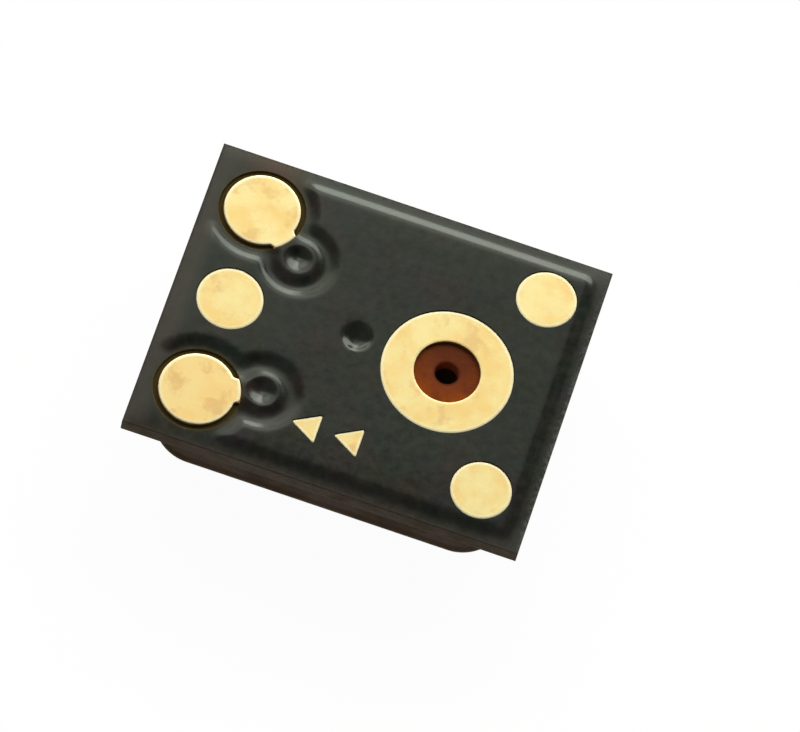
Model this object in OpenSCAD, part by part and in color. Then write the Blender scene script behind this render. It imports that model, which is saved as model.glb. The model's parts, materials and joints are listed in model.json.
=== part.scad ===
// Surface-mount phone microphone with a sound port in its board.
// It lies on its drawn lid with the contact side up, in millimetres. The origin is at the
// centre of the lid's flat outer face, +X runs along the board's long edge, and +Z points
// out of the contact side.

/* [Overall] */
// Height from the lid's outer face to the solder mask over the copper
total_h = 1.00; // [0.90:0.01:1.40]

/* [Board] */
// Length of the board, along X
board_l = 3.76; // [3.60:0.01:4.60]
// Width of the board, along Y
board_w = 3.00; // [2.90:0.01:3.80]
// Thickness of the laminate core
core_t = 0.13; // [0.10:0.005:0.25]
// Thickness of the copper on either side of the core
copper_t = 0.022; // [0.016:0.001:0.035]
// Thickness of the solder mask over copper
mask_t = 0.016; // [0.012:0.001:0.025]
// Thickness of the solder mask over bare laminate
mask_bare_t = 0.018; // [0.010:0.001:0.024]
// Width of the slope where the mask steps down from copper to laminate
mask_slope = 0.05; // [0.03:0.005:0.06]
// Thickness of the gold plating on the contacts
plating_t = 0.006; // [0.003:0.001:0.010]
// Distance from the board's edges to the ground plane
plane_in = 0.15; // [0.10:0.01:0.18]

/* [Sound port] */
// Diameter of the sound port
port_d = 0.22; // [0.18:0.01:0.35]
// Distance from the short edge beside the port to the port's centre
port_in = 1.138; // [1.10:0.002:1.20]
// Diameter of the bare laminate round the port
port_bare_d = 0.612; // [0.50:0.002:0.70]
// Outer diameter of the ring contact round the port
port_ring_d = 1.225; // [1.10:0.005:1.30]
// Gap between the port and the mask inside the lid
port_back_gap = 0.18; // [0.04:0.01:0.18]

/* [Ground contacts] */
// Diameter of the ground contact between the two signal contacts
ground_left_d = 0.618; // [0.50:0.002:0.70]
// Diameter of the two ground contacts beside the port
ground_right_d = 0.565; // [0.45:0.005:0.65]
// Distance from the short edge beside the port to those two contacts
ground_right_in = 0.4975; // [0.45:0.0025:0.55]
// Distance from the long edges to those two contacts
ground_right_row = 0.48; // [0.45:0.005:0.52]

/* [Signal contacts] */
// Diameter of the two signal contacts
signal_d = 0.706; // [0.60:0.002:0.76]
// Distance from the short edge to the signal contacts' column
signal_in = 0.54; // [0.52:0.005:0.60]
// Distance from the long edges to the signal contacts
signal_row = 0.535; // [0.52:0.005:0.58]
// Gap between a signal contact's copper and the edge of the mask round it
signal_gap = 0.06; // [0.03:0.005:0.07]
// Gap between a signal contact's copper and the ground plane
moat_gap = 0.157; // [0.13:0.001:0.18]
// Width of the trace from a signal contact to its via
tab_w = 0.24; // [0.16:0.01:0.28]

/* [Vias] */
// Diameter of the drilled hole
via_d = 0.15; // [0.12:0.01:0.18]
// Thickness of the plated copper wall in the hole
via_wall = 0.020; // [0.012:0.002:0.030]
// Diameter of the copper land round a via
land_d = 0.39; // [0.30:0.01:0.42]
// Gap between a signal via's land and the ground plane
land_gap = 0.165; // [0.12:0.005:0.18]
// Distance along X from a signal contact to the output via
output_via_dx = 0.461; // [0.44:0.001:0.50]
// Distance along Y from a signal contact to the output via
output_via_dy = 0.369; // [0.34:0.001:0.40]
// Distance along X from a signal contact to the power via
power_via_dx = 0.560; // [0.54:0.001:0.60]
// Distance along Y from a signal contact to the power via
power_via_dy = 0.183; // [0.16:0.001:0.22]
// Distance from the ring contact's edge to the ground via, along X
ground_via_gap = 0.2445; // [0.22:0.0005:0.26]
// Distance from the middle of the board to the ground via, along Y
ground_via_y = 0.039; // [-0.06:0.001:0.06]
// Diameter of the dimple that the mask has over a via
dimple_d = 0.30; // [0.16:0.01:0.32]
// Depth of the dimple
dimple_h = 0.015; // [0.008:0.001:0.016]
// Depth to which the mask fills a via, below the contact-side copper
plug_h = 0.05; // [0.03:0.005:0.07]

/* [Orientation marks] */
// Side of each triangular mark
mark_side = 0.30; // [0.20:0.01:0.34]
// Distance from one mark to the next
mark_pitch = 0.40; // [0.36:0.01:0.46]
// Distance from the signal contacts' column to the first mark's point
mark_dx = 0.896; // [0.88:0.002:1.00]
// Number of marks
mark_count = 2; // [1:1:3]

/* [Lid] */
// Distance from the board's short edges to the lid's wall
lid_in_x = 0.195; // [0.12:0.005:0.22]
// Distance from the board's long edges to the lid's wall
lid_in_y = 0.195; // [0.14:0.005:0.24]
// Thickness of the lid's sheet
sheet_t = 0.10; // [0.06:0.01:0.13]
// Radius of the lid's upright corners, seen from above
lid_corner_r = 0.43; // [0.35:0.01:0.60]
// Outside radius between the lid's wall and its flat face
lid_edge_r = 0.21; // [0.15:0.01:0.30]
// Thickness of the solder between the lid's rim and its land
seam_t = 0.012; // [0.008:0.002:0.020]
// Height of the solder fillet on the lid's wall
seam_h = 0.05; // [0.03:0.01:0.08]
// Reach of the solder fillet from the lid's wall
seam_w = 0.045; // [0.03:0.005:0.06]
// Reach of the lid's land past the solder on either side
land_edge = 0.02; // [0.01:0.005:0.03]

/* [Microphone chip] */
// Side of the square silicon chip
mems_side = 1.16; // [1.00:0.02:1.20]
// Thickness of the chip
mems_t = 0.40; // [0.25:0.01:0.42]
// Diameter of the hole etched through the chip
cavity_d = 0.66; // [0.50:0.02:0.70]
// Distance by which the diaphragm reaches over the silicon round the hole
anchor_w = 0.04; // [0.02:0.005:0.05]
// Thickness of the diaphragm
diaphragm_t = 0.003; // [0.002:0.001:0.005]
// Air gap between the diaphragm and the backplate
air_gap = 0.004; // [0.003:0.001:0.006]
// Thickness of the backplate
backplate_t = 0.004; // [0.003:0.001:0.006]
// Width of the backplate's six-sided sound holes, across their corners
vent_d = 0.040; // [0.030:0.002:0.050]
// Distance between the backplate's sound holes
vent_pitch = 0.068; // [0.060:0.002:0.090]
// Solid border of the backplate, from its outer sound holes to the cavity's wall
vent_border = 0.01; // [0.005:0.005:0.03]
// Thickness of the adhesive under the chip
mems_glue_t = 0.020; // [0.010:0.005:0.040]

/* [Amplifier chip] */
// Length of the chip, along X
asic_l = 0.80; // [0.60:0.02:0.90]
// Width of the chip, along Y
asic_w = 0.95; // [0.80:0.05:1.00]
// Thickness of the chip
asic_t = 0.20; // [0.12:0.01:0.25]
// Gap between the two chips
chip_gap = 0.20; // [0.15:0.01:0.24]
// Thickness of the adhesive under the chip
asic_glue_t = 0.015; // [0.010:0.005:0.030]

/* [Wire bonds] */
// Diameter of the gold wire
wire_d = 0.020; // [0.016:0.001:0.026]
// Diameter of the ball at the start of a wire
ball_d = 0.060; // [0.045:0.005:0.070]
// Thickness of the ball and of the stitch at the other end
ball_t = 0.014; // [0.013:0.001:0.020]
// Height that a wire rises before it bends
wire_rise = 0.06; // [0.05:0.01:0.08]
// Radius of a wire's bend
wire_bend = 0.04; // [0.03:0.005:0.05]
// Side of the bonding pads on the chips
bond_pad_w = 0.09; // [0.08:0.005:0.10]
// Thickness of the bonding pads on the chips
bond_pad_t = 0.003; // [0.002:0.001:0.005]
// Distance from a chip's edge to the middle of its bonding pads
bond_pad_in = 0.08; // [0.07:0.005:0.10]
// Distance between the two wires that join the chips
bond_pad_pitch = 0.24; // [0.16:0.02:0.30]
// Side of the bond fingers on the board
finger_w = 0.16; // [0.12:0.01:0.18]
// Distance from the amplifier chip's edge to the middle of the fingers
finger_dy = 0.245; // [0.22:0.005:0.28]
// Reach of the mask over a finger's edge
finger_cover = 0.02; // [0.01:0.005:0.03]
// Width of the traces inside the lid
inner_trace_w = 0.10; // [0.06:0.01:0.14]
// Diameter of the lands round the vias inside the lid
inner_land_d = 0.30; // [0.24:0.01:0.36]
// Distance between the output finger and the ground finger
finger_pitch = 0.38; // [0.34:0.01:0.42]

/* [Hidden] */
$fn = 64;
EPS = 0.01; // how far a cutter stands out of the face that it cuts

// levels, from the contact side down
Z_COPPER = total_h - mask_t;
Z_CORE = Z_COPPER - copper_t;
Z_CORE_BACK = Z_CORE - core_t;
Z_LAND = Z_CORE_BACK - copper_t;
Z_INSIDE = Z_LAND - mask_t;
Z_RIM = Z_LAND - seam_t;

// outline of the lid's outer wall, and of the land that its rim is soldered to
lid_l = board_l - 2 * lid_in_x;
lid_w = board_w - 2 * lid_in_y;
land_out = seam_w + land_edge;
land_in = sheet_t + land_out;

// places of the contacts and vias
SIGNAL_X = signal_in - board_l / 2;
SIGNAL_Y = board_w / 2 - signal_row;
OUTPUT_AT = [SIGNAL_X, SIGNAL_Y];
POWER_AT = [SIGNAL_X, -SIGNAL_Y];
OUTPUT_VIA = OUTPUT_AT + [output_via_dx, -output_via_dy];
POWER_VIA = POWER_AT + [power_via_dx, power_via_dy];
GROUND_LEFT = [SIGNAL_X, 0];
GROUND_FAR = [board_l / 2 - ground_right_in, board_w / 2 - ground_right_row];
GROUND_NEAR = [GROUND_FAR.x, -GROUND_FAR.y];
PORT_AT = [board_l / 2 - port_in, 0];
GROUND_VIA = [PORT_AT.x - port_ring_d / 2 - ground_via_gap, ground_via_y];
VIAS = [OUTPUT_VIA, POWER_VIA, GROUND_VIA];
signal_open_d = signal_d + 2 * signal_gap;
via_bore_d = via_d - 2 * via_wall;
mark_h = mark_side * cos(30);

// the mask's slope starts beyond the copper's edge and ends over the copper
slope_out = 0.7 * mask_slope;
slope_in = mask_slope - slope_out;
relief_h = copper_t + mask_t - mask_bare_t;

// the chips hang from the mask inside the lid, and these heights are measured from it
MEMS_LEFT = PORT_AT.x - mems_side / 2;
ASIC_RIGHT = MEMS_LEFT - chip_gap;
ASIC_AT = [ASIC_RIGHT - asic_l / 2, 0];
film_d = cavity_d + 2 * anchor_w;
mems_top = mems_glue_t + mems_t;
asic_top = asic_glue_t + asic_t;
GAP_LEVEL = mems_top + diaphragm_t;
BACKPLATE_LEVEL = GAP_LEVEL + air_gap;
MEMS_BOND = mems_top + bond_pad_t;
ASIC_BOND = asic_top + bond_pad_t;
FINGER_BOND = -mask_t;

// places of the bonding pads and of the fingers that they are wired to
finger_y = asic_w / 2 + finger_dy;
asic_pad_y = asic_w / 2 - bond_pad_in;
GROUND_FINGER = [GROUND_VIA.x, finger_y];
OUTPUT_FINGER = [GROUND_FINGER.x - finger_pitch, finger_y];
POWER_FINGER = [OUTPUT_FINGER.x, -finger_y];
ASIC_OUTPUT_PAD = [OUTPUT_FINGER.x, asic_pad_y];
ASIC_POWER_PAD = [POWER_FINGER.x, -asic_pad_y];
ASIC_GROUND_PAD = [ASIC_RIGHT - bond_pad_in - bond_pad_w / 2, asic_pad_y];
bridge_y = bond_pad_pitch / 2;
ASIC_BIAS_PAD = [ASIC_RIGHT - bond_pad_in, -bridge_y];
ASIC_SENSE_PAD = [ASIC_RIGHT - bond_pad_in, bridge_y];
MEMS_BIAS_PAD = [MEMS_LEFT + bond_pad_in, -bridge_y];
MEMS_SENSE_PAD = [MEMS_LEFT + bond_pad_in, bridge_y];

// the backplate's sound holes: as many rings as fit inside the cavity's wall
vent_reach = cavity_d / 2 - vent_border - vent_d / 2;
vent_rings = floor(vent_reach / vent_pitch);

// a wire's faces: sides round it, and steps round its bend
WIRE_SIDES = 10;
WIRE_BENDS = 8;

COPPER = [0.72, 0.45, 0.20];
GOLD = [0.98, 0.84, 0.58];
MASK = [0.16, 0.17, 0.16];
LAMINATE = [0.45, 0.20, 0.13];
DARK_METAL = [0.25, 0.23, 0.21];
SOLDER = [0.62, 0.62, 0.60];
SILICON = [0.38, 0.40, 0.45];
FILM = [0.55, 0.50, 0.62];
ALUMINIUM = [0.80, 0.80, 0.82];
ADHESIVE = [0.85, 0.82, 0.72];

// Shapes that several parts share

// puts its children on a level, h thick
module layer(z, h) {
    translate([0, 0, z]) linear_extrude(h) children();
}

module disc(at, d) {
    translate(at) circle(d = d);
}

module square_at(at, w) {
    translate(at) square(w, center = true);
}

module board_outline() {
    square([board_l, board_w], center = true);
}

// a rectangle with round corners, drawn in by a distance on all sides
module round_outline(l, w, r, inset) {
    square([l - 2 * r, w - 2 * inset], center = true);
    square([l - 2 * inset, w - 2 * r], center = true);
    for (x = [-1, 1], y = [-1, 1]) disc([x * (l / 2 - r), y * (w / 2 - r)], 2 * (r - inset));
}

// a straight bar with square ends, from one point to another
module bar(from, to, w) {
    run = to - from;
    translate(from) rotate(atan2(run.y, run.x)) translate([0, -w / 2]) square([norm(run), w]);
}

// sweeps a profile round a rectangle with round corners: the profile's x points outwards
// from the outline, and its y points up
module around(l, w, r) {
    for (side = [0:3]) {
        reach = side % 2 == 0 ? l / 2 : w / 2;
        run = (side % 2 == 0 ? w : l) - 2 * r;
        rotate(90 * side) translate([reach, run / 2, 0]) {
            rotate([90, 0, 0]) linear_extrude(run) children();
            translate([-r, 0, 0]) rotate_extrude(angle = 90) translate([r, 0]) children();
        }
    }
}

// Lid, its solder and the copper that it is soldered to

// the drawn sheet's section from the flat face round the edge and up the wall
module lid_profile() {
    translate([-sheet_t, lid_edge_r]) square([sheet_t, Z_RIM - lid_edge_r]);
    translate([-lid_edge_r, lid_edge_r]) intersection() {
        difference() {
            circle(lid_edge_r);
            circle(lid_edge_r - sheet_t);
        }
        translate([0, -lid_edge_r]) square(lid_edge_r);
    }
}

module lid() {
    color(DARK_METAL) {
        around(lid_l, lid_w, lid_corner_r) lid_profile();
        layer(0, sheet_t) round_outline(lid_l, lid_w, lid_corner_r, lid_edge_r);
    }
}

// the solder lies under the rim and has a fillet on either side of the sheet
module lid_solder() {
    color(SOLDER)
    around(lid_l, lid_w, lid_corner_r) {
        translate([-sheet_t, Z_RIM]) square([sheet_t, seam_t]);
        polygon([[0, Z_LAND], [seam_w, Z_LAND], [0, Z_RIM - seam_h]]);
        translate([-sheet_t, 0]) polygon([[0, Z_LAND], [0, Z_RIM - seam_h], [-seam_w, Z_LAND]]);
    }
}

// the land is also the ground connection inside the lid, out to its finger and via
module land_outline() {
    difference() {
        round_outline(lid_l, lid_w, lid_corner_r, -land_out);
        round_outline(lid_l, lid_w, lid_corner_r, land_in);
    }
    bar(GROUND_VIA, [GROUND_VIA.x, lid_w / 2 - sheet_t], inner_trace_w);
    square_at(GROUND_FINGER, finger_w);
    disc(GROUND_VIA, inner_land_d);
}

module lid_land() {
    color(COPPER)
    layer(Z_LAND, copper_t) difference() {
        land_outline();
        disc(GROUND_VIA, via_bore_d);
    }
}

// Copper on the contact side

// the board's corner beside a signal contact, from the contact's middle outwards
module corner_outline(pad) {
    corner = [-board_l / 2, sign(pad.y) * board_w / 2];
    size = corner - pad;
    translate((pad + corner) / 2) square([abs(size.x), abs(size.y)], center = true);
}

module keyhole_outline(pad, via) {
    disc(pad, signal_d + 2 * moat_gap);
    disc(via, land_d + 2 * land_gap);
    corner_outline(pad);
}

module trace_outline(pad, via) {
    disc(pad, signal_d);
    disc(via, land_d);
    bar(pad, via, tab_w);
}

module signal_trace(pad, via) {
    color(COPPER)
    layer(Z_CORE, copper_t) difference() {
        trace_outline(pad, via);
        disc(via, via_bore_d);
    }
}

module ground_plane() {
    color(COPPER)
    layer(Z_CORE, copper_t) difference() {
        square([board_l - 2 * plane_in, board_w - 2 * plane_in], center = true);
        keyhole_outline(OUTPUT_AT, OUTPUT_VIA);
        keyhole_outline(POWER_AT, POWER_VIA);
        disc(PORT_AT, port_bare_d);
        disc(GROUND_VIA, via_bore_d);
    }
}

module output_trace() {
    signal_trace(OUTPUT_AT, OUTPUT_VIA);
}

module power_trace() {
    signal_trace(POWER_AT, POWER_VIA);
}

// Gold contacts

module mark_outline() {
    for (i = [0:mark_count - 1])
        translate([SIGNAL_X + mark_dx + i * mark_pitch, -SIGNAL_Y])
            polygon([[0, 0], [mark_h, -mark_side / 2], [mark_h, mark_side / 2]]);
}

module gold_layer() {
    color(GOLD) layer(Z_COPPER, plating_t) children();
}

module signal_contact(pad, via) {
    gold_layer() intersection() {
        trace_outline(pad, via);
        disc(pad, signal_open_d);
    }
}

module output_contact() {
    signal_contact(OUTPUT_AT, OUTPUT_VIA);
}

module power_contact() {
    signal_contact(POWER_AT, POWER_VIA);
}

module ground_contact_left() {
    gold_layer() disc(GROUND_LEFT, ground_left_d);
}

module ground_contact_far() {
    gold_layer() disc(GROUND_FAR, ground_right_d);
}

module ground_contact_near() {
    gold_layer() disc(GROUND_NEAR, ground_right_d);
}

module port_ring_contact() {
    gold_layer() difference() {
        disc(PORT_AT, port_ring_d);
        disc(PORT_AT, port_bare_d);
    }
}

module orientation_marks() {
    gold_layer() mark_outline();
}

// Laminate and vias

module laminate() {
    color(LAMINATE)
    layer(Z_CORE_BACK, core_t) difference() {
        board_outline();
        disc(PORT_AT, port_d);
        for (at = VIAS) disc(at, via_d);
    }
}

module via_barrel(at) {
    color(COPPER)
    layer(Z_CORE_BACK, core_t) difference() {
        disc(at, via_d);
        disc(at, via_bore_d);
    }
}

module output_via() {
    via_barrel(OUTPUT_VIA);
}

module power_via() {
    via_barrel(POWER_VIA);
}

module ground_via() {
    via_barrel(GROUND_VIA);
}

// Solder mask on the contact side, which follows the copper under it

// a round mesa of mask over copper of diameter d
module round_mesa(at, d) {
    translate([at.x, at.y, Z_CORE]) {
        cylinder(h = mask_bare_t, d = d + 2 * slope_out);
        translate([0, 0, mask_bare_t])
            cylinder(h = relief_h, d1 = d + 2 * slope_out, d2 = d - 2 * slope_in);
    }
}

// the space that mask leaves over a round gap of diameter d in the copper
module round_moat(at, d) {
    translate([at.x, at.y, Z_CORE + mask_bare_t]) {
        cylinder(h = relief_h, d1 = d - 2 * slope_out, d2 = d + 2 * slope_in);
        translate([0, 0, relief_h]) cylinder(h = EPS, d = d + 2 * slope_in);
    }
}

// a long bank of mask from y = start to y = end, over copper that reaches half to each side
module bank(half, start, end) {
    foot = half + slope_out;
    brow = half - slope_in;
    brow_h = mask_bare_t + relief_h;
    translate([0, end, Z_CORE]) rotate([90, 0, 0]) linear_extrude(end - start)
        polygon([[-foot, 0], [foot, 0], [foot, mask_bare_t], [brow, brow_h],
            [-brow, brow_h], [-foot, mask_bare_t]]);
}

module plane_mesa() {
    difference() {
        intersection() {
            bank(board_l / 2 - plane_in, -board_w / 2, board_w / 2);
            rotate(90) bank(board_w / 2 - plane_in, -board_l / 2, board_l / 2);
        }
        for (at = [OUTPUT_AT, POWER_AT]) layer(Z_CORE - EPS, total_h) corner_outline(at);
        for (at = [OUTPUT_AT, POWER_AT]) round_moat(at, signal_d + 2 * moat_gap);
        for (at = [OUTPUT_VIA, POWER_VIA]) round_moat(at, land_d + 2 * land_gap);
    }
}

module trace_mesa(pad, via) {
    run = via - pad;
    round_mesa(via, land_d);
    translate([pad.x, pad.y, 0]) rotate(atan2(run.y, run.x) - 90) bank(tab_w / 2, 0, norm(run));
}

// the hollow that the mask has where it sags into a via
module dimple(at) {
    bowl_r = (pow(dimple_d / 2, 2) + pow(dimple_h, 2)) / (2 * dimple_h);
    translate([at.x, at.y, total_h - dimple_h + bowl_r]) sphere(bowl_r);
}

module contact_side_openings() {
    disc(OUTPUT_AT, signal_open_d);
    disc(POWER_AT, signal_open_d);
    disc(PORT_AT, port_ring_d);
    disc(GROUND_LEFT, ground_left_d);
    disc(GROUND_FAR, ground_right_d);
    disc(GROUND_NEAR, ground_right_d);
    mark_outline();
}

module contact_side_mask() {
    color(MASK) {
        difference() {
            union() {
                layer(Z_CORE, mask_bare_t) board_outline();
                plane_mesa();
                trace_mesa(OUTPUT_AT, OUTPUT_VIA);
                trace_mesa(POWER_AT, POWER_VIA);
            }
            ground_plane();
            output_trace();
            power_trace();
            layer(Z_CORE - EPS, total_h) contact_side_openings();
            for (at = VIAS) dimple(at);
        }
        for (at = VIAS) layer(Z_CORE - plug_h, plug_h) disc(at, via_bore_d);
    }
}

// Copper and solder mask inside the lid

module lead_outline(via, finger) {
    disc(via, inner_land_d);
    bar(via, finger, inner_trace_w);
    square_at(finger, finger_w);
}

module lead(via, finger) {
    color(COPPER)
    layer(Z_LAND, copper_t) difference() {
        lead_outline(via, finger);
        disc(via, via_bore_d);
    }
}

module output_lead() {
    lead(OUTPUT_VIA, OUTPUT_FINGER);
}

module power_lead() {
    lead(POWER_VIA, POWER_FINGER);
}

// the mask covers the board's border, and all that the lid encloses but the fingers
module lid_side_mask() {
    color(MASK) {
        layer(Z_CORE_BACK - mask_bare_t, mask_bare_t) difference() {
            board_outline();
            round_outline(lid_l, lid_w, lid_corner_r, -land_out);
        }
        difference() {
            layer(Z_INSIDE, copper_t + mask_t) difference() {
                round_outline(lid_l, lid_w, lid_corner_r, land_in);
                disc(PORT_AT, port_d + 2 * port_back_gap);
            }
            lid_land();
            output_lead();
            power_lead();
            layer(Z_INSIDE - EPS, mask_t + EPS)
                for (at = [OUTPUT_FINGER, POWER_FINGER, GROUND_FINGER])
                    square_at(at, finger_w - 2 * finger_cover);
        }
    }
}

// Microphone chip: all that follows hangs from the mask, upside down

module hang() {
    translate([0, 0, Z_INSIDE]) mirror([0, 0, 1]) children();
}

module mems_outline() {
    difference() {
        square_at(PORT_AT, mems_side);
        disc(PORT_AT, cavity_d);
    }
}

module mems_adhesive() {
    color(ADHESIVE) hang() layer(0, mems_glue_t) mems_outline();
}

module mems_chip() {
    color(SILICON) hang() layer(mems_glue_t, mems_t) mems_outline();
}

module diaphragm() {
    color(FILM) hang() layer(mems_top, diaphragm_t) disc(PORT_AT, film_d);
}

module gap_ring() {
    color(FILM) hang() layer(GAP_LEVEL, air_gap) difference() {
        disc(PORT_AT, film_d);
        disc(PORT_AT, cavity_d);
    }
}

// a honeycomb: hexagonal rings of six-sided sound holes round one in the middle
module vents() {
    for (row = [-vent_rings:vent_rings])
        for (column = [max(-vent_rings, -vent_rings - row):min(vent_rings, vent_rings - row)])
            translate(PORT_AT + vent_pitch * [column + row / 2, row * cos(30)])
                rotate(30) circle(d = vent_d, $fn = 6);
}

module backplate() {
    color(FILM) hang() layer(BACKPLATE_LEVEL, backplate_t) difference() {
        disc(PORT_AT, film_d);
        vents();
    }
}

module bond_pads(places, level) {
    color(ALUMINIUM) hang() layer(level, bond_pad_t)
        for (at = places) square_at(at, bond_pad_w);
}

module mems_bond_pads() {
    bond_pads([MEMS_BIAS_PAD, MEMS_SENSE_PAD], mems_top);
}

// Amplifier chip

module asic_outline() {
    translate(ASIC_AT) square([asic_l, asic_w], center = true);
}

module asic_adhesive() {
    color(ADHESIVE) hang() layer(0, asic_glue_t) asic_outline();
}

module asic_chip() {
    color(SILICON) hang() layer(asic_glue_t, asic_t) asic_outline();
}

module asic_bond_pads() {
    bond_pads([ASIC_BIAS_PAD, ASIC_SENSE_PAD, ASIC_OUTPUT_PAD, ASIC_POWER_PAD, ASIC_GROUND_PAD],
        asic_top);
}

// Wire bonds

// the middle of a wire as [distance along its run, height, heading]: it rises, bends over and
// runs straight down to the stitch, along the tangent of its bend
function wire_path(start_level, foot) =
    let (
        bend_at = [wire_bend, start_level + wire_rise],
        reach = foot - bend_at,
        leave = atan2(reach.y, reach.x) + acos(wire_bend / norm(reach))
    )
    [
        [0, start_level, 90],
        for (i = [0:WIRE_BENDS])
            let (turn = 180 - i / WIRE_BENDS * (180 - leave))
            [bend_at.x + wire_bend * cos(turn), bend_at.y + wire_bend * sin(turn), turn - 90],
        [foot.x, foot.y, leave - 90]
    ];

// a round wire swept along such a path, in the XZ plane
module swept_wire(path) {
    last = len(path) - 1;
    polyhedron(
        points = [
            for (p = path, i = [0:WIRE_SIDES - 1])
                let (a = 360 * i / WIRE_SIDES, out = wire_d / 2 * cos(a))
                [p[0] - out * sin(p[2]), wire_d / 2 * sin(a), p[1] + out * cos(p[2])]
        ],
        faces = [
            [for (i = [WIRE_SIDES - 1:-1:0]) i],
            for (ring = [0:last - 1], i = [0:WIRE_SIDES - 1])
                let (here = ring * WIRE_SIDES, next = (i + 1) % WIRE_SIDES)
                [here + i, here + next, here + WIRE_SIDES + next, here + WIRE_SIDES + i],
            [for (i = [0:WIRE_SIDES - 1]) last * WIRE_SIDES + i]
        ]
    );
}

// a wire from a ball on one pad to a stitch on another
module bond_wire(start, start_level, end, end_level) {
    run = end - start;
    foot = [norm(run), end_level + ball_t];
    color(GOLD) hang() translate([start.x, start.y, 0]) rotate(atan2(run.y, run.x)) {
        translate([0, 0, start_level]) cylinder(h = ball_t, d = ball_d);
        swept_wire(wire_path(start_level, foot));
        translate([foot.x, 0, end_level]) cylinder(h = ball_t, d = ball_d);
    }
}

module bias_wire() {
    bond_wire(MEMS_BIAS_PAD, MEMS_BOND, ASIC_BIAS_PAD, ASIC_BOND);
}

module sense_wire() {
    bond_wire(MEMS_SENSE_PAD, MEMS_BOND, ASIC_SENSE_PAD, ASIC_BOND);
}

module output_wire() {
    bond_wire(ASIC_OUTPUT_PAD, ASIC_BOND, OUTPUT_FINGER, FINGER_BOND);
}

module power_wire() {
    bond_wire(ASIC_POWER_PAD, ASIC_BOND, POWER_FINGER, FINGER_BOND);
}

module ground_wire() {
    bond_wire(ASIC_GROUND_PAD, ASIC_BOND, GROUND_FINGER, FINGER_BOND);
}

lid();
lid_solder();
lid_land();
laminate();
contact_side_mask();
lid_side_mask();
ground_plane();
output_trace();
power_trace();
output_via();
power_via();
ground_via();
port_ring_contact();
ground_contact_left();
ground_contact_far();
ground_contact_near();
output_contact();
power_contact();
orientation_marks();
output_lead();
power_lead();
mems_adhesive();
mems_chip();
diaphragm();
gap_ring();
backplate();
mems_bond_pads();
asic_adhesive();
asic_chip();
asic_bond_pads();
bias_wire();
sense_wire();
output_wire();
power_wire();
ground_wire();
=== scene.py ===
"""The looks of a surface-mount phone microphone that lies on its lid, contact side up.

All sizes are in metres, in the CAD model's frame: +X runs along the board's long edge, and
+Z points out of the contact side.
"""

import json
import math

import bpy
import numpy as np
from mathutils import Matrix, Vector
from mathutils.geometry import delaunay_2d_cdt


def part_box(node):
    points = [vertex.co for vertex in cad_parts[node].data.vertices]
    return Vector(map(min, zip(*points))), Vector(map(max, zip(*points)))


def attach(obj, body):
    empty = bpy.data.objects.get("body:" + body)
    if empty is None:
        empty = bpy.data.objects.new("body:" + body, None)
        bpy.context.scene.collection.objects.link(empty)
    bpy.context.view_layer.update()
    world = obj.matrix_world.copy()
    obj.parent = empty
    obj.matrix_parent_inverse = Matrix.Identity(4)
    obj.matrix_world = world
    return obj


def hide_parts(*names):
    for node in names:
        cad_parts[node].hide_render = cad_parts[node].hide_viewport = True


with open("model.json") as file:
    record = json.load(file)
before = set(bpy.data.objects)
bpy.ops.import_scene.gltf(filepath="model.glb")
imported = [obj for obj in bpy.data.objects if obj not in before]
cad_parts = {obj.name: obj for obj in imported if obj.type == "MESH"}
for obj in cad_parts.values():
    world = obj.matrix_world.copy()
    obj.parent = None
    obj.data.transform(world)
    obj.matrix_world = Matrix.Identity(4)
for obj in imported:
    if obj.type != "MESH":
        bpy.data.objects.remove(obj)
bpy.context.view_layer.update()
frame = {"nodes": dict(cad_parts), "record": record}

MM = 1e-3
UM = 1e-6
TINY = 1e-12  # keeps a divisor from being nothing
BODY = "root"

# Camera, in the photograph's frame of 800 x 732 pixels
PHOTO_W, PHOTO_H = 800, 732
PIXELS_PER_MM = 110.14  # at the middle of the contact side
BOARD_AT_PX = (369.87, 345.3)  # where the middle of the contact side is
CAMERA_AZIMUTH = math.radians(3.46)
CAMERA_ELEVATION = math.radians(63.64)
CAMERA_ROLL = math.radians(15.51)
CAMERA_DISTANCE = 72.9 * MM
CAMERA_CLIP = (MM, 10.0)
SENSOR_W = 36.0  # in millimetres, as Blender counts it

# Solder mask: its surface is the copper's outline, blurred as a wet film blurs it
FLOW_OUT = 10 * UM  # how far the film's outline lies outside the copper's
FLOW_BLUR = 34 * UM
FLOW_BORDER = 4 * FLOW_BLUR
FLOW_CELL = 6 * UM
FLOW_SHARPNESS = 1.35
PLANE_SHIFT = (-22 * UM, -6 * UM)  # of the plane's edges at +X and -Y
PLANE_CORNER_R = 60 * UM
FOOT_W = 35 * UM  # of the slope of the film's inner face beside the copper
OPENING_R = 5 * UM
OPENING_IN = 12 * UM  # the mask's edge runs in a little over the bare resin
BOARD_EDGE_R = 5 * UM
ROUND_SHARES = (0, 0.12, 0.4, 1.0)  # of a round edge's radius, where its rings of points lie
LEAST_LEVEL = 0.05  # of a normal on a round edge
EDGE_FALL_H, EDGE_FALL_W = 7 * UM, 0.12 * MM
NEAR_FALL_H, NEAR_FALL_W = 9 * UM, 0.25 * MM
NEAR_FALL_FROM = 0.85  # of the way to the board's -X edge
PLUG_H, PLUG_SLOPE = 45 * UM, 15 * UM  # of the film's plug in a via
LAND_SHARES = (0.88, 0.82)  # of the full height, over the far trace and the near one
LANDS_IN = (0.0, 20 * UM)  # how far each signal's via land is drawn in
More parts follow.
